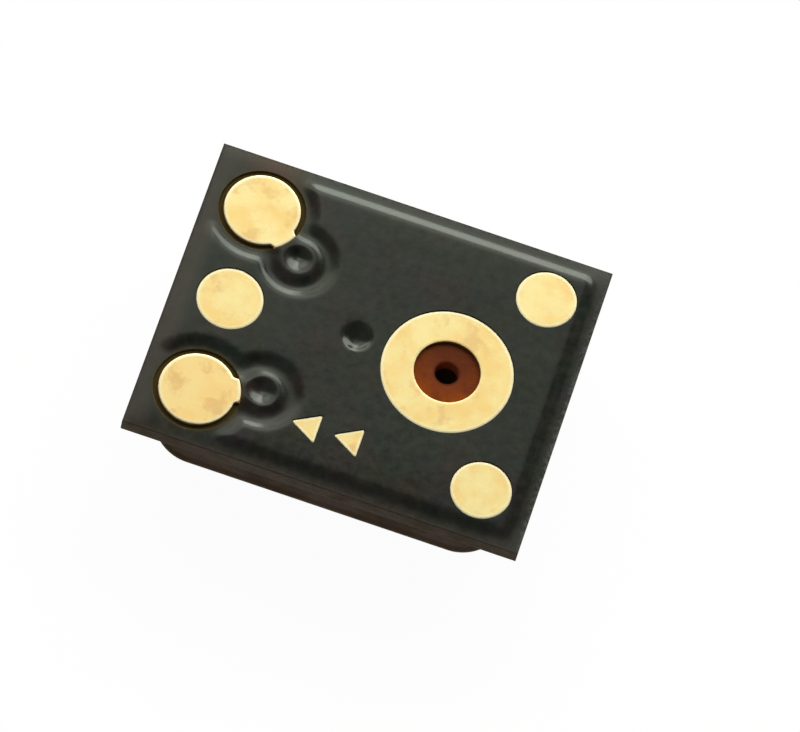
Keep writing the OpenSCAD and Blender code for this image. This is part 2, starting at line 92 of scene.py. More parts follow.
# the film doesn't sag quite over a via's middle: how far its bowl's middle lies off that, and
# the bowl's lowest point off the bowl's middle, the bowl's share of the dimple's radius, and
# how much flatter its floor is on the near side
SAGS = {
    "output_via": ((0, 0), (0, 28 * UM), 1.0, 0.0),
    "power_via": ((0, 0), (0, 4 * UM), 1.1, 0.0),
    "ground_via": ((-22 * UM, 14 * UM), (26 * UM, -36 * UM), 1.08, 0.9),
}
SAG_POWER = 1.05
BOWL_MIDDLE_R = 0.1 * UM
SAG_SHADED = 1.9  # the bowls are shaded as if they were this much deeper
PIT_H = 4 * UM  # how far a bowl may sink below the copper's top, over its via's bore
COVER_H = 1.2 * UM  # the least that covers the copper
COVER_OUT, COVER_W = 8 * UM, 22 * UM  # that holds this far outside the copper, and fades so wide
COVER_BLEND = 1.5 * UM

# Distances between the mask's points
FINE_CELL = 14 * UM
CELLS = [4 * FINE_CELL, 2 * FINE_CELL, FINE_CELL]
CELL_REACH = (0.8, 1.6)  # of a cell's size, the sizes wanted that it serves
SLOPE_REACH = 2.4 * FLOW_BLUR  # fine cells reach this far from the copper's edge
SLOPE_GROWTH, EDGE_GROWTH = 0.7, 0.3  # of the cells, away from a slope and from the edge
OPENING_CELL = 11 * UM
EDGE_CELL = 20 * UM
CLEAR = 5 * UM  # between a round edge and the cells
LEAST_GAP = 0.45 * FINE_CELL

# Gold contacts
PLATING_R = 9 * UM  # of the plating's round upper edge
PLATING_OUT = 3 * UM  # how far it grows over the signal contacts' outline
PLATING_STEPS = (0, 0.08, 0.3, 0.62, 1.0)
PLATE_SHARP = math.radians(38)
MARK_CORNER_R = 14 * UM
MARK_CORNER_STEPS = 9
MARK_COUNT = 2
MARK_CELL = 12 * UM
CONTACT_SIDES = 288
CONTACT_CELL = 22 * UM

# Laminate
BOARD_CELL = 60 * UM
PORT_SIDES, VIA_SIDES, MOAT_SIDES = 160, 64, 200
PORT_RINGS = (0.03, 0.1, 0.25, 0.5, 0.75, 1, 1.2)  # of the way from port to gold

# Lid and solder
LID_SHEET = 0.10 * MM
LID_SHARP = math.radians(30)
LID_LEAST_R = 0.02 * MM
LID_FLAT_SHARES = (0.9, 0.6, 0.3, 0.05)
LID_WALL_STEPS = 8
LID_CORNER_STEPS = 28
LID_EDGE_STEPS = 14
LID_SIDE_CELL = 60 * UM
RIM_R = 12 * UM
RIM_STEPS = 4
SEAM_SHARP = math.radians(35)
SEAM_STEPS = 8
SEAM_LEAST = 0.82  # of the seam's full reach
SEAM_SEED = 5
WAVE_COUNT, WAVE_TURNS, WAVE_SPREAD = 7, 2.2 / MM, 2.5


def mesh_points(name):
    """The points of a CAD node's mesh."""
    mesh = frame["nodes"][name].data
    points = np.zeros(len(mesh.vertices) * 3, np.float32)
    mesh.vertices.foreach_get("co", points)
    return points.reshape(-1, 3).astype(float)


def circle_through(points):
    """Centre and radius of the circle that runs through points, in plan."""
    x, y = points[:, 0], points[:, 1]
    system = np.stack([x, y, np.ones(len(x))], 1) / MM
    (a, b, c), *_ = np.linalg.lstsq(system, (x * x + y * y) / MM, rcond=None)
    centre = np.array([a, b]) / 2
    return centre, math.sqrt(c + centre @ centre)


def away_from(place, x, y):
    return np.hypot(x - place[0], y - place[1])


def distances(points, place):
    return away_from(place, points[:, 0], points[:, 1])


# Sizes read from the CAD model
BOARD_MIN, BOARD_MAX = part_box("laminate")
HALF_L, HALF_W = BOARD_MAX.x, BOARD_MAX.y
CORNER_SIGNS = [[-1, -1], [1, -1], [1, 1], [-1, 1]]
BOARD_CORNERS = np.array(CORNER_SIGNS) * (HALF_L, HALF_W)
Z_CORE, Z_CORE_BACK = BOARD_MAX.z, BOARD_MIN.z
PLANE_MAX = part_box("ground_plane")[1]
Z_COPPER = PLANE_MAX.z
GOLD_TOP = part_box("port_ring_contact")[1].z
MASK_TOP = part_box("contact_side_mask")[1].z
MASK_POINTS = mesh_points("contact_side_mask")
PLANE_POINTS = mesh_points("ground_plane")
MASK_BARE_TOP = MASK_POINTS[distances(MASK_POINTS, (HALF_L, HALF_W)) < UM][:, 2].max()

GROUNDS = {name: circle_through(mesh_points(name))
           for name in ("ground_contact_left", "ground_contact_far", "ground_contact_near")}
RING_POINTS = mesh_points("port_ring_contact")
PORT_AT = (RING_POINTS.min(0) + RING_POINTS.max(0))[:2] / 2
ring_radii = distances(RING_POINTS, PORT_AT)
RING_INNER_R, RING_OUTER_R = ring_radii.min(), ring_radii.max()
PORT_R = distances(mesh_points("laminate"), PORT_AT).min()
VIAS = {name: circle_through(mesh_points(name))[0] for name in SAGS}
via_radii = distances(mesh_points("ground_via"), VIAS["ground_via"])
VIA_BORE_R, VIA_R = via_radii.min(), via_radii.max()
TAB_CLEAR = 2 * UM
DIMPLE_SINK = 10 * UM  # a dimple's floor isn't lower than this under the copper's top


class Signal:
    """A signal contact with its via: places and radii in plan."""

    def __init__(self, contact, trace, via):
        self.contact = contact
        points = mesh_points(contact)
        middle = (points[:, 0].min() + points[:, 0].max()) / 2
        self.at, self.r = circle_through(points[points[:, 0] < middle])
        self.r += PLATING_OUT
        self.opening_r = distances(MASK_POINTS, self.at).min() - OPENING_IN
        self.moat_r = distances(PLANE_POINTS, self.at).min()
        self.via = VIAS[via]
        copper = mesh_points(trace)
        self.land_r = distances(copper[copper[:, 0] > self.via[0]], self.via).max()
        self.via_moat_r = distances(PLANE_POINTS, self.via).min()
        run = self.via - self.at
        self.heading = math.atan2(run[1], run[0])
        self.reach = math.hypot(*run)
        tip = points[distances(points, self.at) > self.r + TAB_CLEAR][:, :2]
        spread = np.linalg.norm(tip[:, None] - tip[None], axis=2)
        self.tab_half = spread.max() / 2


SIGNALS = [
    Signal("output_contact", "output_trace", "output_via"),
    Signal("power_contact", "power_trace", "power_via"),
]
near_via = MASK_POINTS[distances(MASK_POINTS, VIAS["ground_via"]) < 2 * VIA_R]
on_top = near_via[near_via[:, 2] > MASK_TOP - UM]
DIMPLE_R = distances(on_top, VIAS["ground_via"]).min()
DIMPLE_H = MASK_TOP - near_via[near_via[:, 2] > Z_COPPER - DIMPLE_SINK][:, 2].min()

MARKS_MIN, MARKS_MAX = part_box("orientation_marks")
MARK_SIDE = MARKS_MAX.y - MARKS_MIN.y
MARK_H = MARK_SIDE * math.cos(math.radians(30))
MARK_PITCH = (MARKS_MAX.x - MARKS_MIN.x - MARK_H) / (MARK_COUNT - 1)
MARK_Y = (MARKS_MIN.y + MARKS_MAX.y) / 2
MARK_TIPS = [np.array([MARKS_MIN.x + i * MARK_PITCH, MARK_Y]) for i in range(MARK_COUNT)]

LID_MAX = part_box("lid")[1]
LID_POINTS = mesh_points("lid")
LID_L, LID_W, Z_RIM = LID_MAX.x, LID_MAX.y, LID_MAX.z
on_side = LID_POINTS[LID_POINTS[:, 0] > LID_L - UM]
LID_CORNER_R = LID_W - on_side[:, 1].max()
LID_EDGE_R = on_side[:, 2].min()
SOLDER_MIN, SOLDER_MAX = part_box("lid_solder")
SEAM_W = SOLDER_MAX.x - LID_L
SEAM_H = Z_RIM - SOLDER_MIN.z


# Meshes


def add_object(name, data):
    made = bpy.data.objects.new(name, data)
    bpy.context.scene.collection.objects.link(made)
    return made


def make_piece(name, points, faces, material, normals=None, smooth_angle=None):
    """A mesh object of the microphone. normals, one for each corner of each face, are optional."""
    mesh = bpy.data.meshes.new(name)
    mesh.from_pydata(points.tolist(), [], faces)
    mesh.validate()
    mesh.materials.append(material)
    piece = add_object(name, mesh)
    mesh.polygons.foreach_set("use_smooth", [True] * len(mesh.polygons))
    if normals is not None:
        mesh.normals_split_custom_set(normals)
    elif smooth_angle is not None:
        mesh.set_sharp_from_angle(angle=smooth_angle)
    mesh.update()
    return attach(piece, BODY)


def lengths(vectors):
    return np.linalg.norm(vectors, axis=1)


def unit(vectors):
    return vectors / lengths(vectors)[:, None]


def smooth_step(t):
    t = np.clip(t, 0, 1)
    return t * t * (3 - 2 * t)


def soft_min(a, b, r):
    """The lower of a and b, blended over a distance r."""
    h = np.clip(0.5 + 0.5 * (b - a) / r, 0, 1)
    return b + (a - b) * h - r * h * (1 - h)


def soft_max(a, b, r):
    return -soft_min(-a, -b, r)


def around(place, r, turns):
    """Points round a place at the angles turns, as far off as r says."""
    return np.stack([place[0] + r * np.cos(turns), place[1] + r * np.sin(turns)], 1)


def circle_loop(place, r, count):
    return around(place, r, np.arange(count) * 2 * math.pi / count)


def rounded_triangle(tip):
    """Outline of an orientation mark whose point is at tip, with small round corners."""
    corners = np.array([[0, 0], [MARK_H, -MARK_SIDE / 2], [MARK_H, MARK_SIDE / 2]]) + tip
    third = np.linspace(-math.pi / 3, math.pi / 3, MARK_CORNER_STEPS)
    outs = unit(corners - corners.mean(0))
    outline = [around(corner - out * 2 * MARK_CORNER_R, MARK_CORNER_R,
                      math.atan2(out[1], out[0]) + third) for corner, out in zip(corners, outs)]
    return densify(np.concatenate(outline), MARK_CELL)


def steps_of(loop):
    """Each point of a closed loop with the one after it."""
    return zip(loop, np.roll(loop, -1, 0))


def densify(outline, cell):
    """The closed outline with points added so that none lie further apart than cell."""
    points = []
    for here, there in steps_of(outline):
        count = max(1, math.ceil(np.linalg.norm(there - here) / cell))
        points += [here + (there - here) * i / count for i in range(count)]
    return np.array(points)


def inside_loop(points, loop):
    """Which of points lie inside the closed loop."""
    found = np.zeros(len(points), bool)
    low, high = loop.min(0), loop.max(0)
    near = ((points > low) & (points < high)).all(1)
    x, y = points[near].T
    odd = np.zeros(len(x), bool)
    for (x0, y0), (x1, y1) in steps_of(loop):
        if y0 != y1:
            odd ^= ((y0 > y) != (y1 > y)) & (x < (x1 - x0) * (y - y0) / (y1 - y0) + x0)
    found[near] = odd
    return found


def distance_to_loop(points, loop, reach):
    """Distance from each point to the loop and the direction to it, no further than reach."""
    far = np.full(len(points), reach)
    towards = np.zeros((len(points), 2))
    low, high = loop.min(0) - reach, loop.max(0) + reach
    near = np.flatnonzero(((points > low) & (points < high)).all(1))
    p = points[near]
    best = np.full(len(p), reach)
    way = np.zeros((len(p), 2))
    for a, b in steps_of(loop):
        side = b - a
        t = np.clip(((p - a) @ side) / (side @ side), 0, 1)
        gap = a + t[:, None] * side - p
        d = np.hypot(gap[:, 0], gap[:, 1])
        closer = d < best
        best[closer] = d[closer]
        way[closer] = gap[closer] / np.maximum(d[closer], TINY)[:, None]
    far[near], towards[near] = best, way
    return far, towards


LEAST_TURN = 1e-16  # twice a flat triangle's area, in square metres
MERGE_GAP = 1e-7  # in millimetres
SAME_PLACE = 0.02 * UM


def triangulate(points, loops):
    """Triangles between points, where each loop is a run of indices whose edges are kept."""
    edges = [(int(i), int(j)) for loop in loops for i, j in steps_of(loop)]
    scaled = [Vector(p) for p in (points / MM)]
    made = delaunay_2d_cdt(scaled, edges, [], 0, MERGE_GAP, True)
    places, faces, origins = made[0], made[2], made[3]
    index = np.array([min(o) if o else -1 for o in origins])
    if len(places) != len(points) or (index < 0).any():
        print("triangulate: points were merged or added", len(points), len(places))
    return index[np.array(faces)]


# The contact-side solder mask


def openings():
    """Outlines of the mask's openings, each a closed loop."""
    rounds = [(s.at, s.opening_r) for s in SIGNALS] + [(PORT_AT, RING_OUTER_R)]
    rounds += list(GROUNDS.values())
    made = [circle_loop(at, r, round(2 * math.pi * r / OPENING_CELL)) for at, r in rounds]
    return made + [rounded_triangle(tip) for tip in MARK_TIPS]


def plane_depth(x, y, shift=(0.0, 0.0), corner_r=UM):
    """How far a place lies inside the edge of the ground plane, moved by shift at +X and -Y."""
    across = np.minimum(PLANE_MAX.x + shift[0] - x, PLANE_MAX.x + x)
    along = np.minimum(PLANE_MAX.y - y, PLANE_MAX.y + shift[1] + y)
    depth = soft_min(across, along, corner_r)
    for s in SIGNALS:
        side = math.copysign(1, s.at[1])
        corner = np.maximum(x - s.at[0], (s.at[1] - y) * side)
        moat = away_from(s.at, x, y) - s.moat_r
        via_moat = away_from(s.via, x, y) - s.via_moat_r
        depth = np.minimum(np.minimum(depth, corner), np.minimum(moat, via_moat))
    return depth


def copper_depth(x, y, shift=(0.0, 0.0), corner_r=UM, lands_in=(0.0, 0.0)):
    """How far a place lies inside the edge of the copper that the mask covers."""
    depth = plane_depth(x, y, shift, corner_r)
    for s, land_in in zip(SIGNALS, lands_in):
        along = (x - s.at[0]) * math.cos(s.heading) + (y - s.at[1]) * math.sin(s.heading)
        across = (y - s.at[1]) * math.cos(s.heading) - (x - s.at[0]) * math.sin(s.heading)
        bar = np.minimum(s.tab_half - np.abs(across), np.minimum(along, s.reach - along))
        land = s.land_r - land_in - away_from(s.via, x, y)
        depth = np.maximum(depth, np.maximum(bar, land))
    return depth


class Flow:
    """The share of its full height that the mask has over a place, from none to one."""

    def __init__(self):
        self.x, self.y = (np.arange(-half - FLOW_BORDER, half + FLOW_BORDER, FLOW_CELL)
                          for half in (HALF_L, HALF_W))
        x, y = np.meshgrid(self.x, self.y)
        soft = PLANE_SHIFT, PLANE_CORNER_R
        plane = np.clip((plane_depth(x, y, *soft) + FLOW_OUT) / FLOW_CELL + 0.5, 0, 1)
        trace = copper_depth(x, y, *soft, LANDS_IN)
        trace = np.clip((trace + FLOW_OUT) / FLOW_CELL + 0.5, 0, 1)
        cover = np.maximum(plane, np.where(y > 0, *LAND_SHARES) * trace)
        waves_x = np.fft.rfftfreq(len(self.x), FLOW_CELL)[None, :]
        waves_y = np.fft.fftfreq(len(self.y), FLOW_CELL)[:, None]
        blur = np.exp(-2 * (math.pi * FLOW_BLUR) ** 2 * (waves_x ** 2 + waves_y ** 2))
        share = np.clip(np.fft.irfft2(np.fft.rfft2(cover) * blur, cover.shape), 0, 1)
        # the film is thin over the copper's edge, so its upper bend is the sharper one
        self.share = 1 - (1 - share) ** FLOW_SHARPNESS

    def at(self, x, y):
        # the border keeps every place that is asked for inside the grid
        u, v = (x - self.x[0]) / FLOW_CELL, (y - self.y[0]) / FLOW_CELL
        i, j = u.astype(int), v.astype(int)
        u, v = u - i, v - j
        low = self.share[j, i] * (1 - u) + self.share[j, i + 1] * u
        high = self.share[j + 1, i] * (1 - u) + self.share[j + 1, i + 1] * u
        return low * (1 - v) + high * v


FLOW = Flow()


def bowl(x, y, at, r, depth, skew, flat):
    """Depth of a round bowl whose lowest point lies off its middle by skew."""
    dx, dy = x - at[0] - skew[0], y - at[1] - skew[1]
    lean = dx * skew[0] + dy * skew[1]
    room = r * r - skew[0] ** 2 - skew[1] ** 2
    t = (lean + np.sqrt(lean * lean + room * (dx * dx + dy * dy))) / room
    nearer = 0.5 - 0.5 * dy / np.maximum(np.hypot(dx, dy), BOWL_MIDDLE_R)
    return depth * (0.5 + 0.5 * np.cos(math.pi * np.clip(t, 0, 1) ** (SAG_POWER + flat * nearer)))


def edge_gap(x, y):
    """Distance from the board's nearest edge."""
    return soft_min(HALF_L - np.abs(x), HALF_W - np.abs(y), EDGE_FALL_W)


def mask_height(x, y, sag=1.0):
    """Height of the mask's outer face, without its edges. sag makes the bowls deeper."""
    height = MASK_BARE_TOP + (MASK_TOP - MASK_BARE_TOP) * FLOW.at(x, y)
    fall = EDGE_FALL_H * np.exp(-np.maximum(edge_gap(x, y), 0) / EDGE_FALL_W)
    near_fall = NEAR_FALL_H * np.exp(-np.maximum(HALF_W + y, 0) / NEAR_FALL_W)
    near_fall = near_fall * smooth_step((x + NEAR_FALL_FROM * HALF_L) / NEAR_FALL_W)
    height = height - np.maximum(fall, near_fall)
    covered = smooth_step((copper_depth(x, y) + COVER_OUT) / COVER_W + 1)
    least = Z_COPPER + COVER_H - DIMPLE_H * (1 - covered)
    for name, at in VIAS.items():
        off, skew, share, flat = SAGS[name]
        middle = at + np.array(off)
        height = height - bowl(x, y, middle, DIMPLE_R * share, sag * DIMPLE_H, skew, flat)
        least = least - PIT_H * (1 - smooth_step(away_from(at, x, y) / VIA_BORE_R))
    return height if sag > 1 else soft_max(height, least, COVER_BLEND)


def mask_underside(x, y):
    """Height of the mask's inner face, which lies on the copper and fills the vias."""
    rise = smooth_step(copper_depth(x, y) / FOOT_W + 1)
    height = Z_CORE + (Z_COPPER - Z_CORE) * rise
    for at in VIAS.values():
        inside = (VIA_BORE_R - away_from(at, x, y)) / PLUG_SLOPE
        height = height - PLUG_H * smooth_step(inside)
    return height


def mask_cells():
    """Places over the board, close together where the mask slopes and far apart elsewhere."""
    found = []
    for cell in CELLS:
        columns, rows = round(2 * HALF_L / cell), round(2 * HALF_W / cell)
        x = np.linspace(-HALF_L, HALF_L, columns + 1)[1:-1]
        y = np.linspace(-HALF_W, HALF_W, rows + 1)[1:-1]
        x, y = (g.ravel() for g in np.meshgrid(x, y))
        gap = np.abs(copper_depth(x, y) + FLOW_OUT) - SLOPE_REACH
        for at in VIAS.values():
            gap = np.minimum(gap, away_from(at, x, y) - DIMPLE_R)
        wanted = FINE_CELL + SLOPE_GROWTH * np.maximum(gap, 0)
        by_edge = FINE_CELL + EDGE_GROWTH * np.maximum(edge_gap(x, y), 0)
        wanted = np.minimum(wanted, by_edge)
        least = CELL_REACH[0] * cell if cell > CELLS[-1] else 0
        most = CELL_REACH[1] * cell if cell < CELLS[0] else math.inf
        keep = (wanted >= least) & (wanted < most)
        found.append(np.stack([x[keep], y[keep]], 1))
    return np.concatenate(found)


def thin_out(points, gap):
    """points without those that lie closer together than about gap; the first ones stay."""
    first = np.unique(np.floor(points / gap).astype(int), axis=0, return_index=True)[1]
    return points[np.sort(first)]


def edge_rings(loops, rounding):
    """Rings of points that round each loop's edge over, and the loops' indices in them."""
    rings, index, count = [], [], 0
    for number, (loop, r) in enumerate(zip(loops, rounding)):
        away = ring_normals(loop) * (-1 if number == 0 else 1)
        for share in ROUND_SHARES:
            ring = loop + away * r * share
            if number == 0:
                limit = np.array([HALF_L - r * share, HALF_W - r * share])
                ring = np.clip(ring, -limit, limit)
            if share == 0:
                index.append(np.arange(count, count + len(ring)))
            rings.append(ring)
            count += len(ring)
    return rings, index


def round_over(plan, loops, rounding, top):
    """Lowers top along the loops, in place, and gives the tilt of the normals there."""
    tilt = np.zeros((len(plan), 2))
    for i, r in zip(loops, rounding):
        gap, towards = distance_to_loop(plan, plan[i], r)
        gap[i] = 0
        near = gap < r
        sine = (r - gap[near]) / r
        top[near] -= r * (1 - np.sqrt(np.maximum(1 - sine * sine, 0)))
        tilt[near] += towards[near] * sine[:, None]
    return tilt


def mask_normals(x, y, tilt):
    """Normals of the mask's outer face, over deeper bowls than it has."""
    step = FLOW_CELL
    right, left = (mask_height(x + way, y, SAG_SHADED) for way in (step, -step))
    far, near = (mask_height(x, y + way, SAG_SHADED) for way in (step, -step))
    normal = np.stack([left - right, near - far, np.full(len(x), 2 * step)], 1)
    level = np.sqrt(np.maximum(1 - (tilt ** 2).sum(1), LEAST_LEVEL ** 2))
    tilt = np.concatenate([tilt, np.zeros((len(x), 1))], 1)
    return unit(unit(normal) * level[:, None] + tilt)


def solder_mask(material):
    """The mask as one closed film with all its openings."""
    loops = [densify(BOARD_CORNERS, EDGE_CELL)] + openings()
    rounding = [BOARD_EDGE_R] + [OPENING_R] * (len(loops) - 1)
    inner = mask_cells()
    for loop, r in zip(loops, rounding):
        inner = inner[distance_to_loop(inner, loop, r + CLEAR)[0] >= r + CLEAR]
    for loop in loops[1:]:
        inner = inner[~inside_loop(inner, loop)]
    rings, index = edge_rings(loops, rounding)
    plan = np.concatenate(rings + [thin_out(inner, LEAST_GAP)])
    # the corner points of the board's rings fall together, so each place is used once
    plan, first = unique_places(plan)
    index = [dedupe(first[i]) for i in index]
    faces = plan_faces(plan, index)
    x, y = plan.T
    top = mask_height(x, y)
    tilt = round_over(plan, index, rounding, top)
    normal = mask_normals(x, y, tilt)
    return film("solder_mask", plan, top, mask_underside(x, y), faces, index, normal, material)


def unique_places(plan):
    """The different places in plan, and for each place of plan the number of its first."""
    keys = np.round(plan / SAME_PLACE).astype(np.int64)
    _, first, back = np.unique(keys, axis=0, return_index=True, return_inverse=True)
    order = np.argsort(first)
    rank = np.empty(len(order), int)
    rank[order] = np.arange(len(order))
    return plan[first[order]], rank[back.ravel()]


def dedupe(loop):
    """The loop of indices without repeats of the one before."""
    return loop[loop != np.roll(loop, 1)]


def right_of(run):
    return unit(np.stack([run[:, 1], -run[:, 0]], 1))


def ring_normals(loop):
    """Directions out of a counter-clockwise loop, one at each of its points."""
    return right_of(np.roll(loop, -1, 0) - np.roll(loop, 1, 0))


def plan_faces(plan, loops):
    """Triangles that face up and fill the first loop but not the others."""
    faces = triangulate(plan, loops)
    middle = plan[faces].mean(1)
    hollow = np.zeros(len(faces), bool)
    for loop in loops[1:]:
        hollow |= inside_loop(middle, plan[loop])
    faces = faces[~hollow]
    a, b, c = plan[faces[:, 0]], plan[faces[:, 1]], plan[faces[:, 2]]
    turn = (b[:, 0] - a[:, 0]) * (c[:, 1] - a[:, 1]) - (b[:, 1] - a[:, 1]) * (c[:, 0] - a[:, 0])
    faces, turn = faces[np.abs(turn) > LEAST_TURN], turn[np.abs(turn) > LEAST_TURN]
    faces[turn < 0] = faces[turn < 0][:, ::-1]
    return faces


def film(name, plan, top, under, faces, loops, normal, material):
    """A closed solid between two heights over one plan, with walls along its loops."""
    count = len(plan)
    points = np.concatenate([np.column_stack([plan, top]), np.column_stack([plan, under])])
    all_faces = faces.tolist() + (faces[:, ::-1] + count).tolist()
    normals = [normal[faces].reshape(-1, 3), np.tile((0.0, 0.0, -1.0), (3 * len(faces), 1))]
    for number, loop in enumerate(loops):
        ahead = np.roll(loop, -1)
        if number == 0:
            # the board's sides are flat
            walls = [loop, loop + count, ahead + count, ahead]
            out = np.repeat(right_of(plan[ahead] - plan[loop]), 4, 0)
        else:
            walls = [ahead, ahead + count, loop + count, loop]
            here = -ring_normals(plan[loop])
            there = np.roll(here, -1, 0)
            out = np.stack([there, there, here, here], 1).reshape(-1, 2)
        all_faces += np.stack(walls, 1).tolist()
        normals.append(np.column_stack([out, np.zeros(len(out))]))
    return make_piece(name, points, all_faces, material, np.concatenate(normals).tolist())


# Plates of gold, each a round outline about a middle


def polar_plate(name, middle, outline, bottom, top, edge_r, material, hole=None):
    """A closed plate whose upper edges are round. outline and hole are loops about middle."""

    def rounded_edge(loop, r):
        made = [(loop, bottom)]
        for share in PLATING_STEPS:
            drop = edge_r * (1 - math.sqrt(max(1 - (1 - share) ** 2, 0)))
            made.append((loop - ring_normals(loop) * r * share, top - drop))
        return made

    n = len(outline)
    rings = rounded_edge(outline, edge_r)
    last = rings[-1][0]
    closing = [] if hole is None else rounded_edge(hole, -edge_r)[::-1]
    inside = closing[0][0] if closing else np.array([middle])
    count = max(2, math.ceil(lengths(last - inside).max() / CONTACT_CELL))
    rings += [(inside + (last - inside) * (1 - i / count), top) for i in range(1, count)]
    rings += closing
    points = np.concatenate([np.column_stack([ring, np.full(n, z)]) for ring, z in rings])
    faces = []
    for a in range(0, (len(rings) - 1) * n, n):
        b = a + n
        faces += [(a + i, a + (i + 1) % n, b + (i + 1) % n, b + i) for i in range(n)]
    edges = [outline] if hole is None else [outline, hole]
    gaps = [np.min([lengths(ring - edge) for edge in edges], 0) for ring, _ in rings]
    if hole is None:
        hub = len(points)
        points = np.concatenate([points, [[*middle, top], [*middle, bottom]]])
        faces += [(b + i, b + (i + 1) % n, hub) for i in range(n)]
        faces += [((i + 1) % n, i, hub + 1) for i in range(n)]
        gaps.append([lengths(last - inside).min(), 0])
    else:
        faces += [((i + 1) % n, i, b + i, b + (i + 1) % n) for i in range(n)]
    piece = make_piece(name, points, faces, material, smooth_angle=PLATE_SHARP)
    gap = piece.data.attributes.new("edge_gap", "FLOAT", "POINT")
    gap.data.foreach_set("value", (np.concatenate(gaps) / MM).astype(np.float32))
    return piece


TAB_SMOOTHINGS = 3


def signal_outline(s):
    """The contact's disc with the tab that runs on towards its via, under the mask's edge."""
    turn = np.arange(CONTACT_SIDES) * 2 * math.pi / CONTACT_SIDES + s.heading + math.pi
    off = (turn - s.heading + math.pi) % (2 * math.pi) - math.pi
    bar = s.tab_half / np.maximum(np.abs(np.sin(off)), TINY)
    bar = np.where(np.abs(off) < math.pi / 2, bar, 0)
    r = np.maximum(s.r, np.minimum(bar, s.opening_r - UM))
    # the corners beside the tab are soft, as etched copper has them
    for _ in range(TAB_SMOOTHINGS):
        r = (np.roll(r, 1) + 2 * r + np.roll(r, -1)) / 4
    return around(s.at, r, turn)


def gold_contacts(material):
    for s in SIGNALS:
        plate = polar_plate(s.contact + "_plate", s.at, signal_outline(s), Z_CORE, GOLD_TOP,
                            PLATING_R, material)
        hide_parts(s.contact)
    flat_r = PLATING_R / 2
    for name, (at, r) in GROUNDS.items():
        plate = polar_plate(name + "_plate", at, circle_loop(at, r, CONTACT_SIDES), Z_COPPER,
                            GOLD_TOP, flat_r, material)
        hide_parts(name)
    outer, inner = (circle_loop(PORT_AT, r, CONTACT_SIDES) for r in (RING_OUTER_R, RING_INNER_R))
    ring = polar_plate("port_ring_plate", PORT_AT, outer, Z_COPPER, GOLD_TOP, flat_r, material,
                       hole=inner)
    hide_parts("port_ring_contact")
    for i, tip in enumerate(MARK_TIPS):
        outline = rounded_triangle(tip)
        mark = polar_plate(f"orientation_mark_{i + 1}", outline.mean(0), outline, Z_COPPER,
                           GOLD_TOP, flat_r, material)
        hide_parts("orientation_marks")


# Laminate


def laminate_board(material):
    """The board's core with its port and via holes."""
    loops = [densify(BOARD_CORNERS, BOARD_CELL), circle_loop(PORT_AT, PORT_R, PORT_SIDES)]
    loops += [circle_loop(at, VIA_R, VIA_SIDES) for at in VIAS.values()]
    rings = [circle_loop(PORT_AT, PORT_R + (RING_INNER_R - PORT_R) * share, PORT_SIDES)
             for share in PORT_RINGS]
    for s in SIGNALS:
        rings += [circle_loop(s.at, r, MOAT_SIDES) for r in (s.r, s.opening_r)]
    places = loops + rings
    plan = np.concatenate(places)
    starts = np.cumsum([0] + [len(p) for p in places])
    index = [np.arange(starts[i], starts[i + 1]) for i in range(len(loops))]
    up = np.tile([0.0, 0.0, 1.0], (len(plan), 1))
    top, under = (np.full(len(plan), z) for z in (Z_CORE, Z_CORE_BACK))
    board = film("laminate_board", plan, top, under, plan_faces(plan, index), index, up, material)
    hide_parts("laminate")


# Lid and the solder seam round it


def lid_loop(inset):
    """A closed line round the lid, inset from its outer wall. Its count is always the same."""
    r = max(LID_CORNER_R - inset, LID_LEAST_R)
    middles = np.roll(CORNER_SIGNS, 2, 0) * (LID_L - inset - r, LID_W - inset - r)
    counts = [round(2 * (side - LID_CORNER_R) / LID_SIDE_CELL) for side in (LID_L, LID_W)]
    points = []
    for number, middle in enumerate(middles):
        turn = np.radians(90 * (number + np.arange(LID_CORNER_STEPS + 1) / LID_CORNER_STEPS))
        bend = around(middle, r, turn)
        steps = np.arange(1, counts[number % 2]) / counts[number % 2]
        points += [bend, bend[-1] + steps[:, None] * (middles[(number + 1) % 4] - middle)]
    return np.concatenate(points)


def swept(name, profile, material, closed, smooth_angle, reach=None):
    """A profile of (inset, height) pairs swept round the lid.

    reach, a share for each point of the loop, draws it nearer to the sheet and the rim.
    """
    n = len(lid_loop(0))
    reach = np.ones(n) if reach is None else reach
    rings = []
    for inset, height in profile:
        base = lid_loop(min(max(inset, 0), LID_SHEET))
        ring = base + (lid_loop(inset) - base) * reach[:, None]
        z = Z_RIM + (height - Z_RIM) * (reach if height < Z_RIM else np.ones(n))
        rings.append(np.column_stack([ring, z]))
    points = np.concatenate(rings)
    faces = []
    last = (len(rings) - 1) * n
    pairs = [(a, a + n) for a in range(0, last, n)] + [(last, 0)] * closed
    for a, b in pairs:
        faces += [(a + i, b + i, b + (i + 1) % n, a + (i + 1) % n) for i in range(n)]
    if not closed:
        hub = len(points)
        points = np.concatenate([points, [[0, 0, profile[0][1]], [0, 0, profile[-1][1]]]])
        faces += [(i, (i + 1) % n, hub) for i in range(n)]
        faces += [(last + (i + 1) % n, last + i, hub + 1) for i in range(n)]
    return make_piece(name, points, faces, material, smooth_angle=smooth_angle)


def arc(middle, r, start, end, steps):
    """Profile points on a circle, from one angle in degrees to another."""
    turns = np.radians(np.linspace(start, end, steps + 1))
    return [(middle[0] + r * math.cos(t), middle[1] + r * math.sin(t)) for t in turns]


